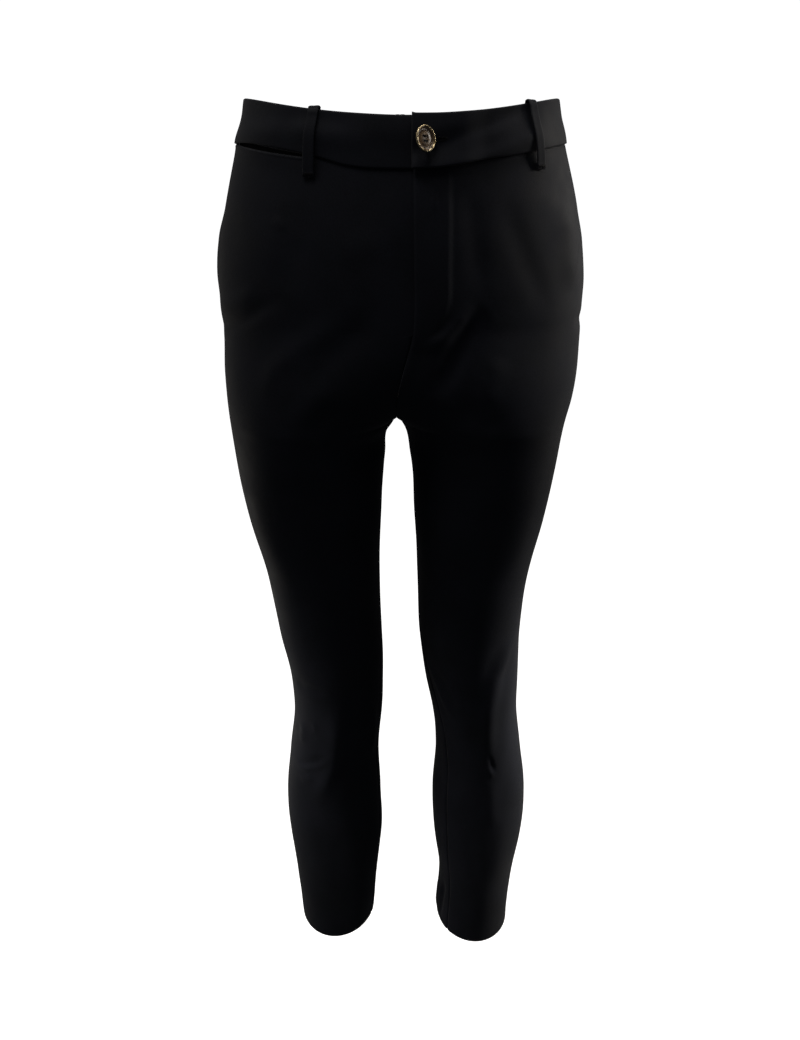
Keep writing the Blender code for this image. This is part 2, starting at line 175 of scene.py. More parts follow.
thread, thread_tree, thread_shader = start_material(
    "black_polyester_thread", "#0e0e12", 0.52, IOR=1.5, Specular_IOR_Level=0.16,
    Sheen_Weight=0.05, Sheen_Roughness=0.35)
thread_place = add(thread_tree, "ShaderNodeTexCoord").outputs["Object"]
thread_twist = add(thread_tree, "ShaderNodeTexNoise",
                   {"Vector": thread_place, "Scale": 2600.0, "Detail": 1.0})
thread_bump = add(thread_tree, "ShaderNodeBump",
                  {"Height": thread_twist.outputs["Fac"], "Strength": 0.4, "Distance": 0.0001})
thread_tree.links.new(thread_bump.outputs["Normal"], thread_shader.inputs["Normal"])
thread_shade = add(thread_tree, "ShaderNodeMix", {"Factor": thread_twist.outputs["Fac"]},
                   data_type="RGBA")
thread_shade.inputs["A"].default_value = linear("#08080b")
thread_shade.inputs["B"].default_value = linear("#15151a")
thread_tree.links.new(thread_shade.outputs["Result"], thread_shader.inputs["Base Color"])

# %% [markdown]
# All the cloth lies on one body surface, the same as in the CAD source. It is a stack of
# level sections from the waist to the hem. Each half of the body is an ellipse cut at the
# middle, and from the crotch down the two halves are the closed rings of the legs. "down"
# is the distance below the top edge of the waistband at the side seams. The angle is 0 at
# the side seam, positive round the front and negative round the back.

# %% Sizes of the body surface
TOP = 0.018             # height of the waistband's top edge
BAND = 0.036            # depth of the waistband
BAND_SLANT = 0.0035     # it slants where the hips flare, and is this much less high
CROTCH = 0.262
CLEFT = 0.172           # where the two halves begin to part
HEM = 0.9157
SEAM = 0.00015          # half the gap at a seam
SWAY = -0.003           # the legs stand this far to the side of the waist
LEFT_LONGER = 0.010     # the left leg is longer at the hem, all of it below this:
LONGER_FROM = 0.80
FRONT_DIP = 0.018       # the waist runs lower at the centre front
BACK_DIP = 0.004
DIP_FADE = 0.110
FLY_END = 0.176
UNDERLAP = 0.030        # the right front runs this far behind the left front
FLY_LIFT = 0.0019
BAND_UNDERLAP = 0.033
BAND_LIFT = 0.0033
BAND_PROUD = 0.0018

# out is the side seam and in the inside leg, measured from the middle line; front and
# back are the depths from the side seams
#        down   out_r   in_r    out_l   in_l    front  back
SIZES = (
    (0.0000, 0.1255, 0.0002, 0.1278, 0.0002, 0.088, 0.092),
    (0.0180, 0.1291, 0.0002, 0.1314, 0.0002, 0.089, 0.095),
    (0.0300, 0.1348, 0.0002, 0.1358, 0.0002, 0.090, 0.097),
    (0.0400, 0.1376, 0.0002, 0.1390, 0.0002, 0.090, 0.099),
    (0.0800, 0.1492, 0.0002, 0.1512, 0.0002, 0.094, 0.109),
    (0.1200, 0.1580, 0.0002, 0.1593, 0.0002, 0.097, 0.119),
    (0.1600, 0.1596, 0.0002, 0.1640, 0.0002, 0.098, 0.125),
    (0.1900, 0.1580, 0.0002, 0.1658, 0.0002, 0.097, 0.126),
    (0.2200, 0.1590, 0.0002, 0.1660, 0.0002, 0.095, 0.121),
    (0.2450, 0.1586, 0.0002, 0.1636, 0.0002, 0.092, 0.111),
    (0.2620, 0.1574, 0.0003, 0.1600, 0.0003, 0.090, 0.103),
    (0.2665, 0.1571, 0.0024, 0.1592, 0.0034, 0.089, 0.101),
    (0.2750, 0.1566, 0.0084, 0.1580, 0.0080, 0.087, 0.098),
    (0.3000, 0.1552, 0.0115, 0.1553, 0.0130, 0.083, 0.090),
    (0.3600, 0.1475, 0.0158, 0.1471, 0.0173, 0.075, 0.079),
    (0.4300, 0.1334, 0.0184, 0.1349, 0.0215, 0.067, 0.069),
    (0.5000, 0.1253, 0.0165, 0.1313, 0.0239, 0.060, 0.061),
    (0.5600, 0.1163, 0.0158, 0.1328, 0.0317, 0.056, 0.056),
    (0.6000, 0.1157, 0.0171, 0.1342, 0.0394, 0.053, 0.056),
    (0.6600, 0.1239, 0.0219, 0.1430, 0.0449, 0.050, 0.061),
    (0.7200, 0.1306, 0.0202, 0.1506, 0.0416, 0.049, 0.066),
    (0.7800, 0.1298, 0.0192, 0.1500, 0.0446, 0.050, 0.064),
    (0.8400, 0.1253, 0.0253, 0.1428, 0.0518, 0.050, 0.058),
    (0.9157, 0.1216, 0.0309, 0.1400, 0.0507, 0.050, 0.054),
)
OUT_R, IN_R, OUT_L, IN_L, FRONT, BACK = range(1, 7)

# where the lapped edge of the fly lies left of the middle
FLY = ((0.0000, 0.0083), (0.0540, 0.0095), (0.1200, 0.0107), (0.1600, 0.0120), (0.1760, 0.0115),
       (0.1950, 0.0075), (0.2150, 0.0030), (0.2350, 0.0000), (0.2620, 0.0000))

# degrees by which the inside leg seams swing forward, on the right and left leg
INSEAM = ((0.3000, 0.0, 0.0), (0.4000, 3.0, 3.0), (0.4800, 10.0, 10.0), (0.5200, 15.0, 20.0),
          (0.5600, 19.0, 31.0), (0.6100, 18.0, 37.0), (0.6800, 15.0, 41.0),
          (0.7400, 15.0, 44.0), (0.8300, 18.0, 42.0), (0.9217, 20.0, 42.0))


# %% [markdown]
# These functions turn a place on the cloth into a point in space. They take whole arrays
# at once, so a panel of forty thousand points is worked out in a moment.

# %% Body surface
def read(table, column, down):
    """One column of a table at any level, by a smooth curve through the rows."""
    rows = np.array(table)
    x, y = rows[:, 0], rows[:, column]
    step = np.diff(x)
    slope = np.diff(y) / step
    inner = (slope[:-1] * step[1:] + slope[1:] * step[:-1]) / (step[1:] + step[:-1])
    tangent = np.concatenate([slope[:1], inner, slope[-1:]])
    down = np.clip(down, x[0], x[-1])
    i = np.clip(np.searchsorted(x, down, side="right") - 1, 0, len(x) - 2)
    t = (down - x[i]) / step[i]
    curve = (2 * t ** 3 - 3 * t ** 2 + 1) * y[i] + (3 * t ** 2 - 2 * t ** 3) * y[i + 1]
    ends = (t ** 3 - 2 * t ** 2 + t) * tangent[i] + (t ** 3 - t ** 2) * tangent[i + 1]
    return curve + ends * step[i]


def smooth(t):
    """0 below 0, 1 above 1 and an S curve between."""
    t = np.clip(t, 0.0, 1.0)
    return t * t * (3.0 - 2.0 * t)


def middle(down):
    return SWAY * smooth((down - 0.10) / 0.14)


def section(side, down):
    """Centre, half width, front depth and back depth of one half of the body."""
    out = read(SIZES, OUT_R if side < 0 else OUT_L, down)
    inside = read(SIZES, IN_R if side < 0 else IN_L, down)
    part = np.clip((down - CLEFT) / (CROTCH - CLEFT), 0.0, 1.0) ** 1.5
    half = (out - inside) / (1.0 + part)
    return inside + part * half, half, read(SIZES, FRONT, down), read(SIZES, BACK, down)


def point(side, down, angle, lift=0.0):
    """Points on the body surface, moved outwards by lift."""
    down, angle, lift = np.broadcast_arrays(np.asarray(down, float), angle, lift)
    centre, half, front, back = section(side, down)
    c, s = np.cos(angle), np.sin(angle)
    depth = np.where(s >= 0.0, front, back)
    nx, ny = c * depth, s * half
    n = np.hypot(nx, ny)
    x = centre + half * c + lift * nx / n
    y = depth * s + lift * ny / n
    return np.stack([side * x + middle(down), -y, TOP - down], axis=-1)


def dip(angle):
    return np.where(angle > 0.0, FRONT_DIP, BACK_DIP) * np.sin(angle) ** 2


def band_depth(angle):
    """How high the waistband is at this angle."""
    from_side = np.minimum(np.abs(angle), math.pi - np.abs(angle))
    flat = smooth((from_side - math.radians(60.0)) / math.radians(22.0))
    return BAND - BAND_SLANT * (1.0 - flat)


def arc(side, down, angle):
    """Metres of surface in one radian of angle."""
    centre, half, front, back = section(side, down)
    depth = np.where(np.sin(angle) >= 0.0, front, back)
    return np.hypot(half * np.sin(angle), depth * np.cos(angle))


def angle_at(side, down, x, facing):
    """Angle where the front or back reaches x, or on the legs the inside leg seam."""
    centre, half, front, back = section(side, down)
    c = np.clip((x - centre) / half, -1.0, 1.0)
    swing = facing * np.radians(read(INSEAM, 1 if side < 0 else 2, down))
    gap = SEAM / arc(side, down, math.pi - np.abs(swing))
    return facing * (np.minimum(np.arccos(c), math.pi - gap) - swing)


def fly_x(down):
    return read(FLY, 1, down)


def lengthened(side, down):
    """Levels of the right leg, moved down where the left leg is longer."""
    longer = LEFT_LONGER if side > 0 else 0.0
    return down + longer * smooth((down - LONGER_FROM) / (HEM - LONGER_FROM))


print("waist", np.round(2000 * section(1, 0.0)[1], 1), "mm across, about")

# %% [markdown]
# A tube of cloth round a body is never quite smooth. Soft folds start where it is held,
# at the crotch, the knee and the hips, and die out along the leg. Each fold here is a short
# line on the surface, drawn as a list of places, with a height and a reach to either side:
# a positive height is a ridge and a negative one a trough. A simulation would make folds
# too, but not these folds, and the ones in the picture are few enough to place one by one.

# %% Folds of the cloth
# side (-1 the wearer's right), height mm, reach mm, then places: down mm, degrees
FOLDS = (
    # the fly: two small upright wrinkles under the button, and the valley beside the facing
    (1, 0.5, 1.9, ((58, 84.2), (63, 84.3), (69, 84.4))),
    (1, 0.5, 2.2, ((60, 80.1), (72, 80.2), (84, 80.5))),
    (1, -0.9, 8.0, ((62, 70.0), (103, 68.8), (140, 67.4))),
    # from the foot of the fly up towards the hip
    (1, 2.4, 6.0, ((186, 86.5), (181, 82.0), (176, 77.5), (169, 73.8), (161, 71.5), (151, 68.5))),
    (1, -4.6, 9.0, ((156, 64.0), (166, 69.0), (178, 72.7), (193, 79.0), (210, 89.0), (228, 102.0))),
    (1, 1.2, 10.0, ((236, 84.0), (215, 74.0), (192, 62.0))),
    (-1, 1.9, 10.0, ((161, 75.0), (171, 69.6), (184, 62.0), (203, 56.0), (227, 54.6))),
    (-1, -1.7, 11.0, ((153, 85.9), (167, 80.5), (186, 75.5), (207, 73.0), (228, 73.1))),
    (-1, 1.0, 10.0, ((256, 78.0), (236, 81.0), (216, 86.0))),
    (-1, -1.4, 9.0, ((262, 92.0), (246, 94.0), (230, 96.0))),
    (1, -1.2, 9.0, ((258, 84.0), (242, 88.0), (230, 93.0))),
    # hips and side pockets, where the pocket mouth gapes a little
    (-1, 1.6, 7.0, ((82, 3.0), (112, 6.0), (140, 8.0), (152, 9.0))),
    (-1, 1.4, 7.5, ((164, 8.0), (159, 24.0), (150, 37.0), (140, 46.0))),
    (-1, -1.5, 5.5, ((178, -2.0), (178, 21.0), (168, 36.0), (156, 46.0), (147, 56.0))),
    (1, 1.4, 7.0, ((84, 4.0), (116, 6.0), (142, 7.0), (160, 6.0))),
    (1, -1.5, 6.0, ((171, -4.0), (172, 10.0), (173, 24.0))),
    (-1, 0.7, 3.4, ((88, 49.0), (93, 52.4), (98, 54.0))),
    (-1, -0.9, 12.0, ((100, 60.0), (124, 57.0), (142, 52.0))),
    (-1, 0.7, 12.0, ((116, 72.0), (108, 80.0), (102, 86.0))),
    (1, -1.0, 11.0, ((66, 59.0), (80, 57.0), (97, 55.0), (120, 51.0), (146, 45.0), (164, 40.0))),
    (1, 2.2, 14.0, ((74, 26.0), (101, 26.0), (122, 26.0), (146, 26.0))),
    # front of the thighs
    (-1, 1.0, 16.0, ((300, 40.0), (350, 48.0), (410, 60.0))),
    (-1, -0.9, 14.0, ((330, 74.0), (380, 84.0), (430, 96.0))),
    (1, 1.0, 16.0, ((300, 50.0), (350, 56.0), (410, 60.0))),
    (1, -0.9, 14.0, ((320, 86.0), (370, 90.0), (430, 98.0))),
    # the right knee juts out as a blunt edge, and small folds gather under it
    (-1, 2.6, 9.0, ((556, 94.0), (580, 91.0), (610, 90.0), (648, 90.0), (680, 80.0), (704, 68.0))),
    (-1, -1.3, 7.0, ((548, 34.0), (545, 60.0), (546, 86.0))),
    (-1, 0.6, 3.4, ((590, 60.5), (596, 62.5), (603, 64.0))),
    (-1, 1.1, 6.0, ((598, 40.0), (612, 44.0), (628, 42.0))),
    (-1, 0.9, 3.6, ((662, 36.0), (658, 56.0), (648, 74.0), (636, 86.0))),
    (-1, -0.8, 3.8, ((655, 38.0), (650, 56.0), (641, 72.0), (630, 82.0))),
    (-1, 0.8, 4.5, ((676, 46.0), (672, 58.0), (666, 68.0))),
    (-1, 1.4, 6.0, ((572, 143.0), (592, 144.5), (616, 147.0), (654, 149.0))),
    (-1, 0.8, 6.0, ((508, 140.0), (522, 132.0), (536, 122.0))),
    # the left knee: a long edge, outside which the leg turns away, and a short crease
    (1, 2.7, 9.0, ((484, 36.0), (502, 49.0), (530, 64.0), (571, 73.0), (604, 77.0), (650, 78.0))),
    (1, -0.5, 7.0, ((486, 58.0), (506, 68.0), (534, 78.0))),
    (1, 1.3, 5.0, ((522, 152.0), (540, 142.0), (560, 133.0), (587, 121.9))),
    (1, -0.8, 5.0, ((524, 138.0), (548, 124.0), (574, 112.0))),
    (1, -1.0, 2.4, ((630, 80.0), (640, 77.5), (650, 75.5), (657, 74.4))),
    (1, 0.7, 3.4, ((646, 84.0), (656, 79.5), (665, 75.0))),
    (1, 1.0, 9.0, ((664, 80.0), (700, 80.0), (740, 78.0))),
    # shins and hems
    (-1, 0.8, 12.0, ((720, 60.0), (770, 66.0), (820, 74.0))),
    (-1, -0.8, 10.0, ((740, 100.0), (790, 96.0), (846, 92.0))),
    (1, 0.8, 12.0, ((716, 60.0), (768, 64.0), (820, 66.0))),
    (1, -0.8, 10.0, ((732, 104.0), (786, 100.0), (840, 92.0))),
    (-1, 1.4, 9.0, ((870, -30.0), (896, -24.0), (916, -20.0))),
    (-1, -1.3, 6.0, ((862, -8.0), (890, -6.0), (918, -4.0))),
    (1, -2.4, 3.4, ((846, 152.0), (868, 154.0), (892, 157.0), (920, 160.0))),
    (1, 2.4, 9.0, ((862, 168.0), (884, 173.0), (920, 178.0))),
    (1, -1.4, 4.0, ((868, 20.0), (890, 15.0), (922, 11.0))),
    (1, 1.6, 8.0, ((866, -4.0), (892, -8.0), (922, -12.0))),
    # seat: drag lines run up from the crotch, and a hollow lies under the band
    (-1, 1.4, 8.0, ((268, -120.0), (252, -104.0), (232, -84.0), (214, -66.0))),
    (-1, -1.5, 9.0, ((280, -108.0), (262, -92.0), (244, -74.0), (230, -56.0))),
    (-1, 1.1, 10.0, ((300, -112.0), (280, -90.0), (262, -68.0), (250, -48.0))),
    (1, 1.5, 8.0, ((270, -122.0), (250, -102.0), (228, -82.0), (206, -62.0))),
    (1, -1.5, 9.0, ((284, -110.0), (264, -92.0), (242, -74.0), (222, -54.0))),
    (1, 1.0, 10.0, ((306, -114.0), (286, -92.0), (270, -70.0), (262, -50.0))),
    (-1, -0.9, 12.0, ((60, -72.0), (84, -70.0), (110, -66.0))),
    (1, -0.9, 12.0, ((58, -74.0), (82, -70.0), (108, -64.0))),
    (-1, 0.8, 14.0, ((66, -40.0), (96, -38.0), (130, -34.0))),
    (1, 0.8, 14.0, ((64, -44.0), (94, -42.0), (126, -36.0))),
    # back of the thighs and knees
    (-1, 1.1, 13.0, ((330, -60.0), (390, -70.0), (450, -84.0))),
    (-1, -1.1, 12.0, ((340, -96.0), (400, -100.0), (470, -110.0))),
    (1, 1.1, 13.0, ((326, -66.0), (386, -72.0), (452, -80.0))),
    (1, -1.1, 12.0, ((336, -98.0), (402, -104.0), (468, -108.0))),
    (-1, -1.8, 6.0, ((560, -30.0), (566, -60.0), (562, -92.0), (552, -126.0))),
    (-1, 1.6, 6.5, ((578, -22.0), (584, -54.0), (582, -88.0), (572, -130.0))),
    (-1, -1.6, 6.0, ((600, -36.0), (602, -66.0), (596, -96.0), (588, -120.0))),
    (-1, 1.2, 8.0, ((534, -48.0), (542, -76.0), (538, -106.0))),
    (-1, 1.3, 8.0, ((622, -50.0), (620, -80.0), (612, -112.0))),
    (1, -1.8, 6.0, ((556, -34.0), (564, -62.0), (566, -94.0), (560, -130.0))),
    (1, 1.6, 6.5, ((572, -26.0), (582, -58.0), (586, -90.0), (580, -134.0))),
    (1, -1.6, 6.0, ((594, -40.0), (602, -70.0), (602, -98.0), (598, -124.0))),
    (1, 1.2, 8.0, ((530, -50.0), (538, -78.0), (540, -110.0))),
    (1, 1.3, 8.0, ((616, -52.0), (622, -84.0), (618, -116.0))),
    # calves
    (-1, 1.0, 13.0, ((690, -70.0), (750, -78.0), (820, -84.0))),
    (-1, -1.0, 11.0, ((720, -112.0), (780, -110.0), (850, -106.0))),
    (1, 1.0, 13.0, ((694, -72.0), (752, -80.0), (820, -88.0))),
    (1, -1.0, 11.0, ((716, -116.0), (782, -112.0), (846, -110.0))),
)


def fold_height(side, place):
    """How far the folds push the cloth out at an array of points on that side."""
    total = np.zeros(place.shape[:-1])
    for fold_side, high, reach, line in FOLDS:
        if fold_side != side:
            continue
        line = np.array(line, float)
        knots = point(side, line[:, 0] / 1000.0, np.radians(line[:, 1]))
        lengths = np.linalg.norm(np.diff(knots, axis=0), axis=1)
        whole = lengths.sum()
        best = np.full(total.shape, 1e9)
        along = np.zeros(total.shape)
        before = 0.0
        for a, b, length in zip(knots, knots[1:], lengths):
            t = np.clip(((place - a) @ (b - a)) / length ** 2, 0.0, 1.0)
            gap = np.linalg.norm(place - (a + t[..., None] * (b - a)), axis=-1)
            nearer = gap < best
            best = np.where(nearer, gap, best)
            along = np.where(nearer, (before + t * length) / whole, along)
            before += length
        taper = smooth(np.minimum(along, 1.0 - along) / 0.35 + 0.12)
        total += high / 1000.0 * np.exp(-(best * 1000.0 / reach) ** 2) * taper
    return total


def drape(place, seed, size=0.045, high=0.0006):
    """Slow unevenness of a worn garment, the same on every run."""
    flat = place.reshape(-1, 3)
    shift = Vector((seed * 3.7, seed * 1.3, -seed * 2.1))
    found = [noise.noise(Vector(p) / size + shift) for p in flat]
    return high * np.array(found).reshape(place.shape[:-1])


print(len(FOLDS), "folds")


# %% [markdown]
# A sheet of cloth is a grid of points, row by row from the waist to the hem. The mesh gets
# a UV map in metres, so that the twill has the same size on every piece, and a Solidify
# modifier gives the cloth its thickness on the inner side.

# %% Grid to cloth
CLOTH = 0.0008          # thickness of the shell


def finish_piece(made):
    """Smooth shading, and the piece joins the object and rides on its only body."""
    made.data.polygons.foreach_set("use_smooth", [True] * len(made.data.polygons))
    if made.name not in bpy.context.scene.collection.objects:
        bpy.context.scene.collection.objects.link(made)
    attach(made, "root")
    return made


def grid_faces(rows, cols, flip):
    r, c = np.meshgrid(np.arange(rows - 1), np.arange(cols - 1), indexing="ij")
    a = (r * cols + c).ravel()
    turn = [a, a + cols, a + cols + 1, a + 1] if flip else [a, a + 1, a + cols + 1, a + cols]
    return np.stack(turn, axis=1)


def mesh_with_uv(name, verts, faces, uv, look):
    """A mesh of quads from arrays, with one UV place for each point."""
    mesh = bpy.data.meshes.new(name)
    mesh.from_pydata(verts.reshape(-1, 3).tolist(), [], list(faces))
    layer = mesh.uv_layers.new(name="UVMap")
    corners = np.zeros(len(mesh.loops), np.int32)
    mesh.loops.foreach_get("vertex_index", corners)
    layer.data.foreach_set("uv", uv.reshape(-1, 2)[corners].astype(np.float32).ravel())
    mesh.materials.append(look)
    return bpy.data.objects.new(name, mesh)


def cloth_sheet(name, grid, uv, flip, look, wall=CLOTH):
    faces = grid_faces(grid.shape[0], grid.shape[1], flip).tolist()
    made = mesh_with_uv(name, grid, faces, uv, look)
    solid = made.modifiers.new("cloth thickness", "SOLIDIFY")
    solid.thickness = wall
    solid.offset = -1.0
    return made


def sheet_area(grid):
    """Area of a grid of points in square metres."""
    a, b = grid[:-1, :-1] - grid[1:, 1:], grid[:-1, 1:] - grid[1:, :-1]
    return float(np.linalg.norm(np.cross(a, b), axis=-1).sum() / 2)


# %% [markdown]
# The rows of a panel run level across the legs but bend under the crotch, so that the seam
# between the legs stays smooth. Rows and columns are then spread by distance along the
# cloth, with extra columns close to the seams. There the cloth rolls inwards into the seam
# line, which is what makes a seam show as a fine dark line.

# %% Rows and columns of a panel
# the rows: down at the middle, down at the side seam
ROWS = (
    (0.0369, 0.0369), (0.0550, 0.0550), (0.0800, 0.0800), (0.1050, 0.1050), (0.1300, 0.1300),
    (0.1500, 0.1500), (0.1660, 0.1650), (0.1780, 0.1780), (0.1920, 0.1900), (0.2070, 0.2030),
    (0.2200, 0.2160), (0.2320, 0.2290), (0.2420, 0.2410), (0.2500, 0.2520), (0.2560, 0.2620),
    (0.2600, 0.2710), (0.2620, 0.2800), (0.2665, 0.2910), (0.2750, 0.3030), (0.2890, 0.3170),
    (0.3100, 0.3340), (0.3380, 0.3540), (0.3680, 0.3780), (0.4000, 0.4050), (0.4350, 0.4360),
    (0.4700, 0.4700), (0.8800, 0.8800), (0.9117, 0.9157),
)
ROW_STEP = 0.0025
COL_STEP = 0.0029
NEAR_SEAM = (0.0, 0.0003, 0.0007, 0.0012, 0.0018, 0.0026, 0.0038, 0.0055, 0.0080)
HEM_TURN = 0.028        # depth of the turned-up hem

# how the cloth tucks up behind the waistband: step above the first row, lift
TUCK = ((0.0060, -0.0010), (0.0035, -0.0009), (0.0016, -0.0006), (0.0008, -0.0003))
# how the hem folds: step above the hem line, lift
FOLD_UNDER = ((0.0003, -0.0002), (0.0001, -0.0006), (0.0001, -0.0011), (0.0003, -0.0015),
              (0.0009, -0.0018), (0.0030, -0.0019), (0.0090, -0.0019), (0.0190, -0.0019),
              (HEM_TURN, -0.0019))


def panel_rows():
    """Down at the middle, down at the side and lift of every row."""
    rows = np.array(ROWS)
    run = np.concatenate([[0.0], np.cumsum(np.diff(rows, axis=0).mean(axis=1))])
    steps = np.linspace(0.0, run[-1] - 0.0012, int(run[-1] / ROW_STEP))
    body = np.stack([np.interp(steps, run, rows[:, 0]), np.interp(steps, run, rows[:, 1])], 1)
    above = np.array([(rows[0, 0] - up, rows[0, 1] - up) for up, lift in TUCK])
    below = np.array([(rows[-1, 0] - up, rows[-1, 1] - up) for up, lift in FOLD_UNDER])
    lifts = [lift for up, lift in TUCK] + [0.0] * len(body) + [lift for up, lift in FOLD_UNDER]
    return np.concatenate([above, body, below]), np.array(lifts), len(TUCK), len(body)


def seam_gap(down):
    """Half the gap at the side seam, wider where the side pocket opens."""
    t = np.clip((down - 0.070) / 0.095, 0.0, 1.0)
    return SEAM + 0.0007 * np.sin(math.pi * t)


def left_edge(down):
    return fly_x(down) + SEAM


def right_edge(down):
    t = np.clip((down - FLY_END + 0.026) / 0.024, 0.0, 1.0)
    lapped = -(fly_x(down) + UNDERLAP * np.sqrt(1.0 - t * t))
    return np.where(t < 1.0, lapped, -fly_x(down) + SEAM)


def middle_edge(down):
    return np.full(np.shape(down), SEAM)


def columns(side, at_side, inner, outer, extra=()):
    """For each row, where the columns lie between the edges (0 to 1) and in metres."""
    u = np.linspace(0.0, 1.0, 61)
    angle = inner[:, None] + (outer - inner)[:, None] * u
    line = point(side, at_side[:, None], angle)
    run = np.linalg.norm(np.diff(line, axis=1), axis=-1).cumsum(axis=1)
    run = np.concatenate([np.zeros((len(run), 1)), run], axis=1)
    near = np.array(NEAR_SEAM)
    count = int((run[:, -1].max() - 2 * near[-1]) / COL_STEP)
    mid = np.linspace(0.0, 1.0, count + 2)[1:-1]
    width = run[:, -1:]
    places = np.concatenate([np.broadcast_to(near, (len(run), len(near))),
                             near[-1] + (width - 2 * near[-1]) * mid,
                             np.broadcast_to(extra, (len(run), len(extra))),
                             width - near[::-1]], axis=1)
    places.sort(axis=1)
    across = np.stack([np.interp(p, r, u) for p, r in zip(places, run)])
    return across, places, width - places


# %% [markdown]
# One function makes all four panels. The left front is pushed out over the underlap of the
# fly, the right front has the slit of the coin pocket just under the waistband, and every
# panel turns up inside at the hem. The seam roll, the folds and the slow unevenness are
# added as one push along the outward direction.

# %% Trouser panels
MOUTH_FROM, MOUTH_SPAN = 6.0, 57.0      # degrees: where the coin pocket's mouth lies
SLIT = 0.0010
MOUTH_ARCH = 0.0037     # the band's lower edge is drawn up over the mouth
MOUTH_RISE = 0.0014     # and so is the front under it, a little
FACING_WIDE = 0.0265    # the fly facing, pressed through the cloth as a slanting strip
FACING_HIGH = 0.0014
FACING_COLUMNS = np.arange(0.0090, 0.0340, 0.0013)
FLY_FADE = 0.030        # how far the lap over the underlap takes to settle
CENTRE_REACH = 0.034    # the centre seam closes up over this height above the crotch
LEG_REACH = 0.007       # and the inside leg seams over about this depth below it


def mouth(angle):
    """1 in the middle of the coin pocket's mouth, 0 outside it."""
    t = np.clip((np.degrees(angle) - MOUTH_FROM) / MOUTH_SPAN, 0.0, 1.0)
    return np.sin(math.pi * t)


def arch(angle):
    """1 where the band's lower edge is drawn up most, 0 away from there."""
    t = np.clip((np.degrees(angle) - 12.0) / 60.0, 0.0, 1.0)
    return np.sin(math.pi * t ** 1.15)


def facing_lift(down, x):
    """The facing lies under the left front from the fly edge to a J shaped seam. It stands
    a little proud, leans back under the band, and ends in a soft ridge along the J."""
    bend = np.clip((down - 0.140) / 0.037, 0.0, 1.0)
    wide = FACING_WIDE * np.sqrt(1.0 - bend ** 2)
    over = x - fly_x(down) - wide
    flat = 1.0 - smooth((over + 0.0015) / 0.006)
    ridge = 0.14 * np.exp(-((over + 0.0010) / 0.0022) ** 2)
    lean = smooth((down - 0.050) / 0.034)
    return FACING_HIGH * (flat * lean + ridge) * wide / FACING_WIDE * (bend < 1.0)


def fly_lift(down, x):
    across = 1.0 - smooth((x - fly_x(down) - UNDERLAP + 0.004) / FLY_FADE)
    along = 1.0 - smooth((down - FLY_END) / 0.016)
    return FLY_LIFT * across * along


def seam_roll(gap):
    """The cloth dives into a seam, and swells a little beside it over the allowance."""
    mm = gap * 1000.0
    return -0.0008 * np.exp(-(mm / 0.9) ** 2) + 0.00022 * np.exp(-((mm - 4.5) / 3.5) ** 2)


def panel(name, side, facing, edge, lap=False):
    rows, row_lift, first, count = panel_rows()
    at_middle, at_side = rows[:, 0], rows[:, 1]
    inner = np.full(len(rows), facing * math.pi / 2)
    # the dip of the waist and the angle of the edge depend on each other
    for _ in range(4):
        fade = 1.0 - smooth((at_middle - BAND) / DIP_FADE)
        inner_down = at_middle + dip(inner) * fade
        inner = angle_at(side, inner_down, edge(inner_down), facing)
    outer = facing * seam_gap(at_side) / arc(side, at_side, 0.0)
    across, from_inner, from_outer = columns(side, at_side, inner, outer,
                                             FACING_COLUMNS if lap else ())

    flat = at_middle[:, None] + (at_side - at_middle)[:, None] * smooth(across)
    flat = lengthened(side, flat)
    angle = inner[:, None] + (outer - inner)[:, None] * across
    down = flat + dip(angle) * (1.0 - smooth((flat - BAND) / DIP_FADE))
    down = down - (BAND - band_depth(angle)) * (1.0 - smooth((flat - BAND) / 0.060))
    lift = np.repeat(row_lift[:, None], across.shape[1], axis=1)
    if facing > 0 and side < 0:
        # below the pocket mouth the cloth turns back inside instead of up behind the band
        open_here = mouth(angle)
        degrees = np.degrees(angle)
        raised = MOUTH_RISE * smooth((degrees - 4.0) / 14.0) * smooth((82.0 - degrees) / 20.0)
        down = down + (SLIT * open_here - raised) * (1.0 - smooth((flat - BAND) / 0.030))
        turn = smooth(open_here / 0.25)
        down[:first] += 2.0 * (at_middle[first] - flat[:first]) * turn[:first]
        below = np.abs(flat - at_middle[first])
        lift = lift + 0.0013 * open_here * (1.0 - smooth((below - 0.001) / 0.012))
    if lap:
        x = point(side, down, angle)[..., 0] - middle(down)
        lift = lift + fly_lift(down, x) + facing_lift(down, x)

    skin = point(side, down, angle)
    push = fold_height(side, skin) + drape(skin, side * 1.0 + facing * 2.0)
    settle = smooth((flat - 0.040) / 0.020)
    push = push * (0.15 + 0.85 * settle)
    # towards the crotch the halves face each other, and nothing may pull them apart there
    outward = point(side, down, angle, 1.0) - skin
    facing_in = np.clip(-1.6 * side * outward[..., 0], 0.0, 1.0)
    near_point = smooth(1.0 - (CROTCH - down) / CENTRE_REACH)
    at_crotch = np.where(down < CROTCH, np.maximum(near_point, facing_in),
                         np.exp(-((down - CROTCH) / LEG_REACH) ** 2))
    push = push * (1.0 - 0.9 * at_crotch * np.exp(-(from_inner / 0.012) ** 2))
    push = push + seam_roll(from_inner) * (1.0 - at_crotch) + seam_roll(from_outer)
    grid = point(side, down, angle, lift + push)
    uv = np.stack([from_outer * -facing * side, -flat], axis=-1)
    made = cloth_sheet(name, grid, uv, side * facing > 0, cloth_face)
    finish_piece(made)
    area = sheet_area(grid)
    print(name, grid.shape, "area", round(area, 4), "widest", round(float(from_outer.max()), 3))
    return made, grid, area, float(from_outer.max())


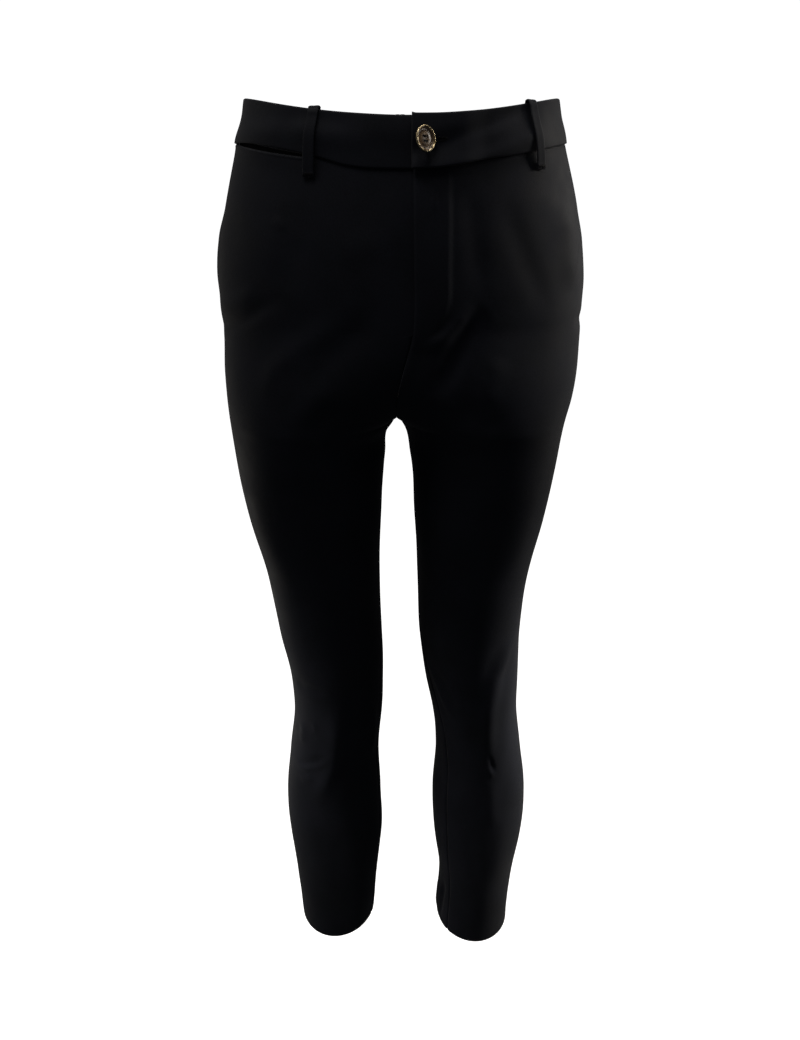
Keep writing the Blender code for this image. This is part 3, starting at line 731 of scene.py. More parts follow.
panels = {}
for name, side, facing, edge, lap in (
        ("front_right", -1, 1, right_edge, False),
        ("front_left", 1, 1, left_edge, True),
        ("back_right", -1, -1, middle_edge, False),
        ("back_left", 1, -1, middle_edge, False)):
    panels[name] = panel(name + "_cloth", side, facing, edge, lap)
    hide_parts(name)

# %% [markdown]
# The two halves of the waistband are each folded from one strip over a stiffening: up the
# inner face, over a rounded fold along the top, and down the outer face to an edge that
# rolls into the seam. The grid runs along that fold in every ring, and the rings follow
# the waist. At the ends the two faces close on each other, as a turned-in end does.

# %% Folded strips
def folded(name, rings, steps, look, wall):
    """A strip folded round into rings that stay open where its two edges meet."""
    centre = rings.mean(axis=1, keepdims=True)
    a, b = rings[1:, 1:] - rings[:-1, :-1], rings[:-1, 1:] - rings[1:, :-1]
    outward = (np.cross(a, b) * (rings[:-1, :-1] - centre[:-1])).sum()
    across = np.concatenate([[0.0], np.cumsum(np.linalg.norm(
        np.diff(rings[len(rings) // 2], axis=0), axis=1))])
    uv = np.stack(np.broadcast_arrays(steps[:, None], across[None, :]), axis=-1)
    return cloth_sheet(name, rings, uv, outward > 0.0, look, wall)


# %% Waistband
BAND_WALL = 0.0026
FACE_ROWS = 16
LAP_RISE = 0.0005       # the lapping end stands this much higher than the band
CORNER_RISE = 0.0006    # and its corner a little more
UNDER_DROP = 0.0006     # the end under it lies this much lower


def band_ring():
    """The fold as pairs: how far down, and -1 (inner face) to 1 (outer face)."""
    turn = np.linspace(0.0, math.pi / 2, 6)
    top = [(0.5 * BAND_WALL * (1.0 - math.cos(t)), math.sin(t)) for t in turn]
    face = [(d, 1.0) for d in np.linspace(0.003, BAND - 0.003, FACE_ROWS)]
    foot = [(BAND - 0.5 * BAND_WALL * (1.0 - math.cos(t)), math.sin(t)) for t in turn[:0:-1]]
    outer = top + face + foot
    return np.array([(d, -w) for d, w in outer[:0:-1]] + outer)


def waistband(name, side, end_x, laps):
    ring = band_ring()
    d, way = ring[:, 0], ring[:, 1]
    start = angle_at(side, BACK_DIP, SEAM, -1)
    end = angle_at(side, d + FRONT_DIP, end_x, 1)
    u = np.linspace(0.0, 1.0, 2001)
    run = np.concatenate([[0.0], np.cumsum(arc(side, 0.02, start + (end.mean() - start) * u))])
    run = run[:-1] / run[-2]
    length = float((end.mean() - start) * arc(side, 0.02, start + (end.mean() - start) * u).mean())
    near = np.array([0.0, 0.0004, 0.0009, 0.0016, 0.0026, 0.0040]) / length
    spread = np.linspace(near[-1], 1.0 - near[-1], int(length / 0.0025))
    steps = np.concatenate([near[:-1], spread, 1.0 - near[-2::-1]])
    across = np.interp(steps, run, u)
    angle = start + (end[None, :] - start) * across[:, None]
    down = d[None, :] * band_depth(angle) / BAND + dip(angle)
    if side < 0:
        down = down - MOUTH_ARCH * arch(angle) * (d[None, :] / BAND) ** 3
    # at the lap the upper end stands a little higher, and the end under it lower
    to_end = (1.0 - steps) * length
    if laps:
        shift = (-LAP_RISE * np.exp(-(to_end / 0.016) ** 2)
                 - CORNER_RISE * np.exp(-(to_end / 0.0018) ** 2))
    else:
        shift = UNDER_DROP * np.exp(-((to_end - BAND_UNDERLAP) / 0.026) ** 2)
    down = down + shift[:, None] * (1.0 - d[None, :] / BAND)
    # the ends are thinner, so that they look turned in
    edge = np.minimum(steps, 1.0 - steps) * length * 1000.0
    thick = np.sqrt(np.clip(1.0 - (1.0 - np.clip(edge / 1.2, 0.08, 1.0)) ** 2, 0.0, 1.0))
    lift = BAND_PROUD - 0.5 * BAND_WALL + 0.5 * BAND_WALL * way[None, :] * thick[:, None]
    # the doubled cloth is a little fuller between the fold and the seam
    swell = np.sin(math.pi * np.clip((d - 0.002) / (BAND - 0.004), 0.0, 1.0)) ** 0.6
    lift = lift + 0.00035 * swell[None, :] * (way[None, :] > 0.0)
    if laps:
        beyond = point(side, down, angle)[..., 0] - fly_x(0.0) - BAND_UNDERLAP - 0.002
        lift = lift + BAND_LIFT * np.where(angle > 0.0, 1.0 - smooth(beyond / 0.022), 0.0)
    skin = point(side, down, angle)
    roll = band_roll(side, skin) + drape(skin, 5.0 + side, 0.030, 0.0004)
    rings = point(side, down, angle, lift + roll)
    made = folded(name, rings, steps * length, cloth_face, 0.0006)
    finish_piece(made)
    print(name, "length", round(length, 4), "rings", rings.shape)
    return made, length


# soft rolls of the band: side, height mm, reach mm, then places: down mm, degrees
BAND_ROLLS = (
    (1, 2.0, 6.5, ((55, 87.0), (54, 80.0), (50, 71.0), (45, 61.3), (37, 50.9), (30, 42.0))),
    (1, -1.7, 5.5, ((41, 87.0), (39, 80.3), (34, 74.0), (26, 64.1), (18, 53.7), (12, 44.3))),
    (-1, 0.7, 8.0, ((36, 76.0), (32, 66.0), (26, 58.0))),
    (-1, -0.6, 7.0, ((22, 70.0), (18, 54.0))),
    (-1, 0.6, 8.0, ((26, 44.0), (22, 26.0), (20, 10.0))),
    (1, 0.6, 8.0, ((24, 22.0), (22, 6.0), (20, -12.0))),
    (-1, 0.7, 8.0, ((22, -20.0), (24, -44.0), (26, -66.0))),
    (1, -0.6, 8.0, ((16, -28.0), (20, -52.0), (22, -74.0))),
)


def band_roll(side, skin):
    total = np.zeros(skin.shape[:-1])
    for roll_side, high, reach, line in BAND_ROLLS:
        if roll_side != side:
            continue
        line = np.array(line, float)
        dense = np.linspace(0, len(line) - 1, 24)
        downs = np.interp(dense, range(len(line)), line[:, 0]) / 1000.0
        turns = np.radians(np.interp(dense, range(len(line)), line[:, 1]))
        knots = point(side, downs, turns)
        gap = np.linalg.norm(skin[..., None, :] - knots, axis=-1).min(axis=-1)
        total += high / 1000.0 * np.exp(-(gap * 1000.0 / reach) ** 2)
    return total


band_right, right_long = waistband("waistband_right_cloth", -1,
                                   -(fly_x(0.0) + BAND_UNDERLAP), False)
band_left, left_long = waistband("waistband_left_cloth", 1, fly_x(0.0), True)
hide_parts("waistband_right")
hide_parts("waistband_left")

# %% [markdown]
# A belt loop is a narrow turned strip. It folds over the band's top edge, bows off its
# face so that a belt can pass, and is turned under and tacked below the seam. Its section
# is a flat oval with a faint hollow down the middle, swept along that line.

# %% Belt loops
# the middle of the strip seen from its edge: distance below the band's top, stand-off
LOOP_LINE = np.array((
    (0.0100, -0.0018), (0.0050, -0.0019), (0.0010, -0.0018), (-0.0008, -0.0009),
    (-0.0013, 0.0006), (-0.0009, 0.0022), (0.0010, 0.0032), (0.0050, 0.0037),
    (0.0110, 0.0045), (0.0180, 0.0050), (0.0260, 0.0050), (0.0330, 0.0045),
    (0.0376, 0.0038), (0.0416, 0.0030), (0.0438, 0.0026), (0.0447, 0.0021),
    (0.0446, 0.0014), (0.0436, 0.0011), (0.0406, 0.0010),
))
LOOP_WIDTH = 0.0084
LOOP_THICK = 0.0010
LOOP_REACH = 0.0451     # from the band's top edge to the loop's foot, where it may slant
# name, side, degrees at the top, degrees at the foot
LOOPS = (
    ("belt_loop_front_right", -1, 60.8, 61.6),
    ("belt_loop_front_left", 1, 40.6, 41.0),
    ("belt_loop_back_right", -1, -38.0, -38.0),
    ("belt_loop_back_left", 1, -38.0, -38.0),
    ("belt_loop_centre_back", -1, -90.0, -90.0),
)


def along_line(line, count):
    """Evenly spaced points on a smooth curve through a few given ones."""
    run = np.concatenate([[0.0], np.cumsum(np.linalg.norm(np.diff(line, axis=0), axis=1))])
    tables = [tuple(zip(run, line[:, k])) for k in range(line.shape[1])]
    steps = np.linspace(0.0, run[-1], count)
    return np.stack([read(table, 1, steps) for table in tables], axis=1), steps


def belt_loop(name, side, top_degrees, foot_degrees):
    line, run = along_line(LOOP_LINE, 90)
    slope = np.gradient(line, axis=0)
    slope /= np.linalg.norm(slope, axis=1)[:, None]
    across = 2.0 * (1.0 - np.cos(np.linspace(0.0, math.pi, 13))) / 2.0 - 1.0
    half_thick = 0.5 * LOOP_THICK * (np.sqrt(np.clip(1 - across ** 8, 0, 1))
                                     * (1.0 - 0.22 * np.exp(-(across / 0.35) ** 2)))
    # from the middle of the back round both edges to the middle of the back again
    mid = len(across) // 2
    w = np.concatenate([across[mid::-1], across[1:], across[-2:mid - 1:-1]])
    h = np.concatenate([-half_thick[mid::-1], half_thick[1:], -half_thick[-2:mid - 1:-1]])
    w[0], w[-1] = -0.02, 0.02
    rings = np.zeros((len(line), len(w), 3))
    for k, ((d, off), (sd, so)) in enumerate(zip(line, slope)):
        t = np.clip((d + 0.0006) / LOOP_REACH, 0.0, 1.0)
        angle = math.radians(top_degrees + (foot_degrees - top_degrees) * t)
        a = angle + 0.5 * LOOP_WIDTH * w / arc(side, 0.02, angle)
        # the strip's thickness lies across its run: outwards on the face, up over the fold
        here = d + h * so
        out = off - h * -sd
        down = here + dip(np.full_like(a, angle))
        if side < 0 and abs(top_degrees + 90.0) < 1e-6:
            own = point(-1, np.maximum(down, 0.0), np.maximum(a, -math.pi / 2), out)
            other = point(1, np.maximum(down, 0.0), np.maximum(-math.pi - a, -math.pi / 2), out)
            p = np.where((a < -math.pi / 2)[:, None], other, own)
        else:
            p = point(side, np.maximum(down, 0.0), a, out)
        p[:, 2] = TOP - down
        rings[k] = p
    made = folded(name + "_cloth", rings, run, cloth_face, 0.00042)
    finish_piece(made)
    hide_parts(name)
    return made, float(run[-1])


loops = [belt_loop(*one) for one in LOOPS]
print("belt loop", round(loops[0][1] * 1000, 1), "mm long")

# %% [markdown]
# The pocket bags hang inside, behind the fronts, and are only seen through the waist. Each
# is one smooth sheet with a rolled seam round its edge.

# %% Pocket bags
def pocket(name, side, low, high, top, foot, depth, mouth_room=0.0):
    t, u = np.meshgrid(np.linspace(0, 1, 60), np.linspace(0, 1, 50), indexing="ij")
    angle = np.radians(low + (high - low) * u)
    round_off = 0.012 * (2.0 * u - 1.0) ** 4
    down = top + (foot - round_off - top) * t + np.maximum(dip(angle), 0.0) * (1.0 - t)
    rim = np.minimum(np.minimum(u, 1 - u), 1 - t)
    skin = point(side, down, angle)
    sag = drape(skin, 9.0 + side, 0.028, 0.0007) + 0.0003 * np.exp(-((rim - 0.04) / 0.02) ** 2)
    sink = mouth_room * mouth(angle) * np.exp(-((t - 0.12) / 0.10) ** 2)
    grid = point(side, down, angle, -depth - sink + sag)
    uv = np.stack([u * (high - low) * 0.0019, -down], axis=-1)
    made = cloth_sheet(name + "_cloth", grid, uv, side < 0, pocketing, 0.0006)
    finish_piece(made)
    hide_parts(name)
    return made, grid


bags = [
    pocket("coin_pocket", -1, 9.0, 60.0, 0.030, 0.105, 0.0024, 0.0030),
    pocket("side_pocket_right", -1, -9.0, 52.0, 0.046, 0.205, 0.0036),
    pocket("side_pocket_left", 1, -9.0, 52.0, 0.046, 0.205, 0.0024),
]
print([round(sheet_area(grid), 4) for made, grid in bags])

# %% [markdown]
# A rib or a thread is a closed rod: rings of points along its run, with both ends shut by
# joining the points that face each other. A mesh made from sums can come out inside out,
# so its volume is checked and the faces are turned if it is negative.

# %% Closed rods
def rod_of_rings(name, rings, steps, look):
    count, size = rings.shape[:2]
    i, k = np.meshgrid(np.arange(count - 1), np.arange(size), indexing="ij")
    i, k = i.ravel() * size, k.ravel()
    n = (k + 1) % size
    faces = np.stack([i + k, i + n, i + size + n, i + size + k], axis=1).tolist()
    for base, step in ((0, 1), ((count - 1) * size, -1)):
        for k in range(size // 2):
            a, b = base + k, base + k + 1
            c, d = base + (size - k - 1) % size, base + (size - k) % size
            shut = [a, b, c] if k == 0 else [a, b, d] if c == b else [a, b, c, d]
            faces.append(shut[::-step])
    round_it = np.linalg.norm(np.diff(rings[0], axis=0, append=rings[0][:1]), axis=-1)
    across = np.concatenate([[0.0], np.cumsum(round_it)[:-1]])
    uv = np.stack(np.broadcast_arrays(steps[:, None], across[None, :]), axis=-1)
    made = mesh_with_uv(name, rings, faces, uv, look)
    verts = np.array([v.co for v in made.data.vertices])
    made.data.calc_loop_triangles()
    corners = np.array([t.vertices for t in made.data.loop_triangles])
    a, b, c = (verts[corners[:, j]] for j in range(3))
    if (a * np.cross(b, c)).sum() < 0.0:
        made.data.flip_normals()
    return made


# %% [markdown]
# Seam allowances close the seams from inside. Along the side and the inside leg they are
# pressed open, so each seam has one flat strip behind it. Through the crotch they stand
# up together as a narrow rib.

# %% Seam allowances
ALLOWANCE = 0.010
SIDE_STRIP_TOP = 0.0322     # the side strips start behind the band
INTO_HEM = 0.003            # and every strip runs this far into the turned-up hem


def pressed_open(name, side, downs, angles):
    """A strip behind a seam, with a hollow along the stitching."""
    across = np.linspace(-1.0, 1.0, 13)
    angle = angles[:, None] + ALLOWANCE * across / arc(side, downs, angles)[:, None]
    skin = point(side, downs[:, None], angle)
    push = fold_height(side, skin)
    depth = 0.0016 - 0.0003 * np.exp(-(across / 0.15) ** 2)
    grid = point(side, downs[:, None], angle, push - depth)
    uv = np.stack(np.broadcast_arrays(across * ALLOWANCE, -downs[:, None]), axis=-1)
    made = cloth_sheet(name, grid, uv, side < 0, cloth_face, 0.0005)
    return finish_piece(made)


strip_end = HEM - HEM_TURN + INTO_HEM
for side, word in ((-1, "right"), (1, "left")):
    downs = lengthened(side, np.linspace(SIDE_STRIP_TOP, strip_end, 240))
    pressed_open("side_seam_allowance_" + word, side, downs,
                                     np.zeros(len(downs)))
    downs = lengthened(side, np.linspace(CROTCH + 0.0008, strip_end, 180))
    swing = math.pi - np.radians(read(INSEAM, 1 if side < 0 else 2, downs))
    pressed_open("inside_leg_allowance_" + word, side, downs, swing)


def centre_rib():
    """The allowance that stands up inside the seam from the fly, under the crotch and up
    the back."""
    front = np.linspace(FLY_END + 0.004, CROTCH, 60)
    back = np.linspace(CROTCH, 0.038, 110)
    line = np.concatenate([
        point(1, front, angle_at(1, front, middle_edge(front), 1)),
        point(1, back, angle_at(1, back, middle_edge(back), -1))[1:]])
    line[:, 0] = middle(TOP - line[:, 2])
    run = np.gradient(line[:, 1:], axis=0)
    run /= np.linalg.norm(run, axis=1)[:, None]
    inward = np.stack([run[:, 1] * 0.0, run[:, 1], -run[:, 0]], axis=1)
    if inward[0, 1] < 0.0:
        inward = -inward
    deep = np.linspace(0.0012, ALLOWANCE, 6)
    # half its thickness, widest where it backs the seam and thin at its free edge
    ring_x = np.array([1.3, 1.4, 1.3, 1.1, 0.9, 0.5]) * 0.0008
    outer = [line + inward * a + np.array([b, 0.0, 0.0]) for a, b in zip(deep, ring_x)]
    other = [line + inward * a - np.array([b, 0.0, 0.0]) for a, b in zip(deep, ring_x)]
    start = line + inward * (deep[0] - 0.0004)
    end = line + inward * (deep[-1] + 0.0003)
    rings = np.stack([start] + outer + [end] + other[::-1], axis=1)
    length = np.concatenate([[0.0], np.cumsum(np.linalg.norm(np.diff(line, axis=0), axis=1))])
    made = rod_of_rings("centre_seam_allowance", rings, length, cloth_face)
    return finish_piece(made)


centre_rib()

# %% [markdown]
# The button is dark horn-like resin in a thin brass-coloured rim. It is turned, so it is
# drawn as half a section and spun round its axis: a side wall, a narrow rounded rim, a
# steep inner wall, a dish with fine flutes and a flat middle with four holes. It stands on
# a thread shank and leans, with the edge next to the fly raised.

# %% Button place
BUTTON_X = 0.0166
BUTTON_DOWN = 0.0168
BUTTON_STAND = 0.0047   # the length of the shank
BUTTON_LEAN = 35.0      # degrees
BUTTON_TURN = 10.0      # degrees by which the axis of the lean is turned


def button_place():
    """Where the shank leaves the band, and the directions outward, along and up."""
    down = BUTTON_DOWN + FRONT_DIP
    angle = float(angle_at(1, down, BUTTON_X, 1))
    lift = BAND_PROUD + BAND_LIFT
    here = Vector(point(1, down, angle, lift))
    out = (Vector(point(1, down, angle, lift + 0.01)) - here).normalized()
    up = (here - Vector(point(1, down + 0.010, angle, lift))).normalized()
    out = (out - up * out.dot(up)).normalized()
    return here, out, up.cross(out).normalized(), up


band_here, band_out, band_along, band_up = button_place()
turn_axis = Matrix.Rotation(math.radians(BUTTON_TURN), 3, band_out) @ band_up
lean = Matrix.Rotation(math.radians(BUTTON_LEAN), 3, turn_axis)
disc_here = band_here + band_out * BUTTON_STAND
disc_out, disc_along, disc_up = lean @ band_out, lean @ band_along, lean @ band_up
print("button at", [round(v, 4) for v in disc_here])

# %% [markdown]
# The horn colour runs between grey brown and near black, in streaks.
# The rim is a worn brass plating, brighter where it has been rubbed.

# %% Button materials
def button_mapping(tree):
    """Object coordinates turned so that the button's axis is Z and its middle is 0."""
    turn = Matrix((disc_along, disc_up, disc_out)).to_euler()
    moved = add(tree, "ShaderNodeVectorMath",
                {0: add(tree, "ShaderNodeTexCoord").outputs["Object"], 1: disc_here},
                operation="SUBTRACT")
    return add(tree, "ShaderNodeMapping", {"Vector": moved.outputs[0], "Rotation": turn})


horn, horn_tree, horn_shader = start_material(
    "turned_dark_horn_resin", "#4a3f36", 0.30, IOR=1.54, Specular_IOR_Level=0.5,
    Coat_Weight=0.25, Coat_Roughness=0.2)
horn_place = button_mapping(horn_tree).outputs["Vector"]
horn_grain = add(horn_tree, "ShaderNodeTexNoise",
                 {"Vector": horn_place, "Scale": 420.0, "Detail": 4.0, "Roughness": 0.6,
                  "Distortion": 1.2})
horn_ramp = add(horn_tree, "ShaderNodeValToRGB", {"Fac": horn_grain.outputs["Fac"]})
horn_ramp.color_ramp.elements[0].position = 0.32
horn_ramp.color_ramp.elements[0].color = linear("#33241a")
horn_ramp.color_ramp.elements[1].position = 0.70
horn_ramp.color_ramp.elements[1].color = linear("#8a6f4e")
horn_tree.links.new(horn_ramp.outputs["Color"], horn_shader.inputs["Base Color"])

brass, brass_tree, brass_shader = start_material(
    "worn_brass_plating", "#b49a6a", 0.28, Metallic=1.0)
brass_place = button_mapping(brass_tree).outputs["Vector"]
brass_wear = add(brass_tree, "ShaderNodeTexNoise",
                 {"Vector": brass_place, "Scale": 700.0, "Detail": 3.0})
brass_ramp = add(brass_tree, "ShaderNodeValToRGB", {"Fac": brass_wear.outputs["Fac"]})
brass_ramp.color_ramp.elements[0].position = 0.35
brass_ramp.color_ramp.elements[0].color = linear("#96825e")
brass_ramp.color_ramp.elements[1].position = 0.62
brass_ramp.color_ramp.elements[1].color = linear("#e0d0ab")
brass_tree.links.new(brass_ramp.outputs["Color"], brass_shader.inputs["Base Color"])
brass_rough = add(brass_tree, "ShaderNodeMapRange",
                  {"Value": brass_wear.outputs["Fac"], "To Min": 0.36, "To Max": 0.18})
brass_tree.links.new(brass_rough.outputs["Result"], brass_shader.inputs["Roughness"])

# %% Button
# half sections from the middle of the back outwards: radius mm, height mm
DISC_LINE = ((0.0, -0.2), (3.0, -0.15), (6.4, 0.0), (7.7, 0.35), (8.2, 0.7), (8.2, 1.6),
             (7.3, 1.9), (7.1, 1.7), (6.9, 1.35), (6.5, 1.15), (5.7, 1.18), (5.0, 1.35),
             (4.6, 1.45), (0.0, 1.5))
RIM_LINE = ((7.4, 0.30), (8.3, 0.62), (8.75, 1.0), (8.9, 1.5), (8.9, 2.15), (8.78, 2.45),
            (8.55, 2.66), (8.25, 2.72), (7.98, 2.62), (7.80, 2.36), (7.68, 1.95), (7.3, 1.6),
            (7.4, 0.9))
HOLE_OFF = 0.0016       # each of the four holes lies this far off both middle lines
HOLE_WIDE = 0.0017
FLUTES = 44


def spin(line, steps, flute=0.0):
    """Rings of points round the button's axis from a half section in millimetres."""
    line = np.array(line) / 1000.0
    turn = np.linspace(0.0, 2.0 * math.pi, steps, endpoint=False)
    rings = []
    for radius, height in line:
        wave = flute * np.cos(FLUTES * turn) if 0.0047 < radius < 0.0071 else 0.0 * turn
        rings.append(np.array(disc_here) + np.outer(radius * np.cos(turn), disc_along)
                     + np.outer(radius * np.sin(turn), disc_up)
                     + np.outer(height + wave, disc_out))
    return np.array(rings)


def smooth_line(line, count):
    """More points on a half section, keeping its shape."""
    return along_line(np.array(line), count)[0]


def turned(name, line, steps, look, flute=0.0, ring_shape=False):
    """A turned piece: closed at the axis, or a ring that closes on itself."""
    rings = spin(line, steps, flute)
    count = len(rings)
    i, k = np.meshgrid(np.arange(count if ring_shape else count - 1), np.arange(steps),
                       indexing="ij")
    i, k = i.ravel(), k.ravel()
    j, n = (i + 1) % count, (k + 1) % steps
    faces = np.stack([i * steps + k, i * steps + n, j * steps + n, j * steps + k], axis=1)
    mesh = bpy.data.meshes.new(name)
    mesh.from_pydata(rings.reshape(-1, 3).tolist(), [], faces.tolist())
    made = bpy.data.objects.new(name, mesh)
    work = bmesh.new()
    work.from_mesh(mesh)
    bmesh.ops.remove_doubles(work, verts=work.verts, dist=1e-7)
    bmesh.ops.recalc_face_normals(work, faces=work.faces)
    work.to_mesh(mesh)
    work.free()
    mesh.materials.append(look)
    return made


def cut(target, cutter):
    """Cuts one mesh out of another, and leaves a plain mesh."""
    step = target.modifiers.new("cut", "BOOLEAN")
    step.operation = "DIFFERENCE"
    step.solver = "EXACT"
    step.object = cutter
    found = bpy.context.evaluated_depsgraph_get()
    found.update()
    plain = bpy.data.meshes.new_from_object(target.evaluated_get(found))
    target.modifiers.clear()
    target.data = plain
    bpy.data.objects.remove(cutter, do_unlink=True)


def rod(name, here, along, up, out, width, height, reach, sides):
    """An oval rod along out, used as a cutter."""
    turn = (np.arange(sides) + 0.5) * 2.0 * math.pi / sides
    ring = np.outer(np.cos(turn) * width / 2, along) + np.outer(np.sin(turn) * height / 2, up)
    verts = np.concatenate([np.array(here) + ring - reach * np.array(out),
                            np.array(here) + ring + reach * np.array(out)])
    faces = [tuple(range(sides))[::-1], tuple(range(sides, 2 * sides))]
    faces += [(k, (k + 1) % sides, (k + 1) % sides + sides, k + sides) for k in range(sides)]
    mesh = bpy.data.meshes.new(name)
    mesh.from_pydata(verts.tolist(), [], faces)
    made = bpy.data.objects.new(name, mesh)
    bpy.context.scene.collection.objects.link(made)
    return made


button = turned("button_disc", smooth_line(DISC_LINE, 60), 176, horn, flute=0.00007)
bpy.context.scene.collection.objects.link(button)
for right, high in ((-1, -1), (1, -1), (1, 1), (-1, 1)):
    middle_of_hole = disc_here + disc_along * right * HOLE_OFF + disc_up * high * HOLE_OFF
    cut(button, rod("hole", middle_of_hole, disc_along, disc_up, disc_out,
                    HOLE_WIDE, HOLE_WIDE, 0.01, 24))
finish_piece(button)
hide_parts("button")
rim = turned("button_rim", smooth_line(RIM_LINE + (RIM_LINE[0],), 48)[:-1], 128, brass,
             ring_shape=True)
finish_piece(rim)
print("button", len(button.data.polygons), "faces, rim", len(rim.data.polygons))

# %% [markdown]
# The shank is thread wound between the band and the button, and more thread crosses from
# hole to hole over the face.

# %% Button thread
def thread_tube(name, points, radius, sides=8):
    """A round thread along a few points, with closed ends."""
    line, run = along_line(np.array(points), 6 * len(points))
    step = np.gradient(line, axis=0)
    step /= np.linalg.norm(step, axis=1)[:, None]
    other = np.cross(step, np.array(disc_up) * 0.3 + np.array(disc_along) * 0.9)
    other /= np.linalg.norm(other, axis=1)[:, None]
    third = np.cross(step, other)
    turn = np.arange(sides) * 2.0 * math.pi / sides
    shrink = np.clip(np.minimum(run, run[-1] - run) / radius, 0.15, 1.0) ** 0.5 * radius
    rings = (line[:, None, :] + shrink[:, None, None]
             * (np.cos(turn)[None, :, None] * other[:, None, :]
                + np.sin(turn)[None, :, None] * third[:, None, :]))
    return rod_of_rings(name, rings, run, thread)


def join(name, parts):
    """Several meshes as one plain piece."""
    work = bmesh.new()
    for part in parts:
        work.from_mesh(part.data)
    mesh = bpy.data.meshes.new(name)
    work.to_mesh(mesh)
    work.free()
    mesh.materials.append(parts[0].data.materials[0])
    for part in parts:
        bpy.data.objects.remove(part, do_unlink=True)
    return bpy.data.objects.new(name, mesh)


def on_disc(right, high, height):
    return disc_here + disc_along * right + disc_up * high + disc_out * height


THREAD_RADIUS = 0.00026
WINDINGS = 8.0

threads = []
for high in (-HOLE_OFF, HOLE_OFF):
    for shift in (-THREAD_RADIUS, THREAD_RADIUS):
        threads.append(thread_tube("thread", [
            on_disc(-HOLE_OFF, high + shift * 0.6, -0.0004),
            on_disc(-HOLE_OFF * 0.98, high + shift, 0.0014),
            on_disc(-HOLE_OFF * 0.5, high + shift, 0.00185),
            on_disc(HOLE_OFF * 0.5, high + shift, 0.00185),
            on_disc(HOLE_OFF * 0.98, high + shift, 0.0014),
            on_disc(HOLE_OFF, high + shift * 0.6, -0.0004)], THREAD_RADIUS))
foot = band_here - band_out * 0.0004
wrap = []
for k in range(97):
    t = k / 96.0
    turn = 2.0 * math.pi * WINDINGS * t
    spot = foot.lerp(on_disc(0.0, 0.0, -0.0001), t)
    wrap.append(spot + (band_along * math.cos(turn) + band_up * math.sin(turn))
                * (0.0010 + 0.0002 * math.sin(math.pi * t)))
threads.append(thread_tube("thread", wrap, 0.00030, 6))
core = [foot.lerp(on_disc(0.0, 0.0, -0.0001), t) for t in (0.0, 0.4, 0.7, 1.0)]
threads.append(thread_tube("thread", core, 0.0010, 12))
finish_piece(join("button_thread", threads))

# %% [markdown]
# The buttonhole is a slit in the left end of the band, whipped all round with close
# stitches. Bar tacks, short rows of stitches set side by side, hold the feet of the belt
# loops. One Geometry Nodes tree makes both kinds: it sets stitches along a path, and its
# inputs give their spacing, length, thickness and how far each stitch turns from the path.

# %% Stitch tree
def stitch_tree():
    tree = bpy.data.node_groups.new("stitches along a path", "GeometryNodeTree")
    face = tree.interface
    face.new_socket("Geometry", in_out="INPUT", socket_type="NodeSocketGeometry")
    for name, value in (("Spacing", 0.0006), ("Stitch length", 0.002),
                        ("Thread radius", 0.0002), ("Turn", 0.0)):
        face.new_socket(name, in_out="INPUT", socket_type="NodeSocketFloat").default_value = value
    face.new_socket("Geometry", in_out="OUTPUT", socket_type="NodeSocketGeometry")
    given = add(tree, "NodeGroupInput").outputs
    path = add(tree, "GeometryNodeMeshToCurve", {"Mesh": given["Geometry"]})
    spaced = add(tree, "GeometryNodeResampleCurve",
                 {"Curve": path.outputs["Curve"], "Length": given["Spacing"]}, mode="LENGTH")
    grain = add(tree, "GeometryNodeMeshUVSphere", {"Segments": 8, "Rings": 6, "Radius": 1.0})
    outward = add(tree, "GeometryNodeInputNamedAttribute", {"Name": "outward"},
                  data_type="FLOAT_VECTOR")
    tangent = add(tree, "GeometryNodeInputTangent")
    stand = add(tree, "FunctionNodeAlignRotationToVector",
                {"Vector": outward.outputs["Attribute"]}, axis="Z")
    point_on = add(tree, "FunctionNodeAlignRotationToVector",
                   {"Rotation": stand.outputs["Rotation"],
                    "Vector": tangent.outputs["Tangent"]}, axis="X", pivot_axis="Z")
    turn = add(tree, "ShaderNodeCombineXYZ", {"Z": given["Turn"]})
    turned_by = add(tree, "FunctionNodeEulerToRotation", {"Euler": turn.outputs["Vector"]})
    facing = add(tree, "FunctionNodeRotateRotation",
                 {"Rotation": point_on.outputs["Rotation"],
                  "Rotate By": turned_by.outputs["Rotation"]}, rotation_space="LOCAL")
    half = add(tree, "ShaderNodeMath", {0: given["Stitch length"], 1: 0.5}, operation="MULTIPLY")
    size = add(tree, "ShaderNodeCombineXYZ", {"X": half.outputs[0], "Y": given["Thread radius"],
                                              "Z": given["Thread radius"]})
    placed = add(tree, "GeometryNodeInstanceOnPoints",
                 {"Points": spaced.outputs["Curve"], "Instance": grain.outputs["Mesh"],
                  "Rotation": facing.outputs["Rotation"], "Scale": size.outputs["Vector"]})
    real = add(tree, "GeometryNodeRealizeInstances", {"Geometry": placed.outputs["Instances"]})
    soft = add(tree, "GeometryNodeSetShadeSmooth", {"Geometry": real.outputs["Geometry"]})
    finish = add(tree, "GeometryNodeSetMaterial",
                 {"Geometry": soft.outputs["Geometry"], "Material": thread})
    add(tree, "NodeGroupOutput", {"Geometry": finish.outputs["Geometry"]})
    return tree


STITCHES = stitch_tree()


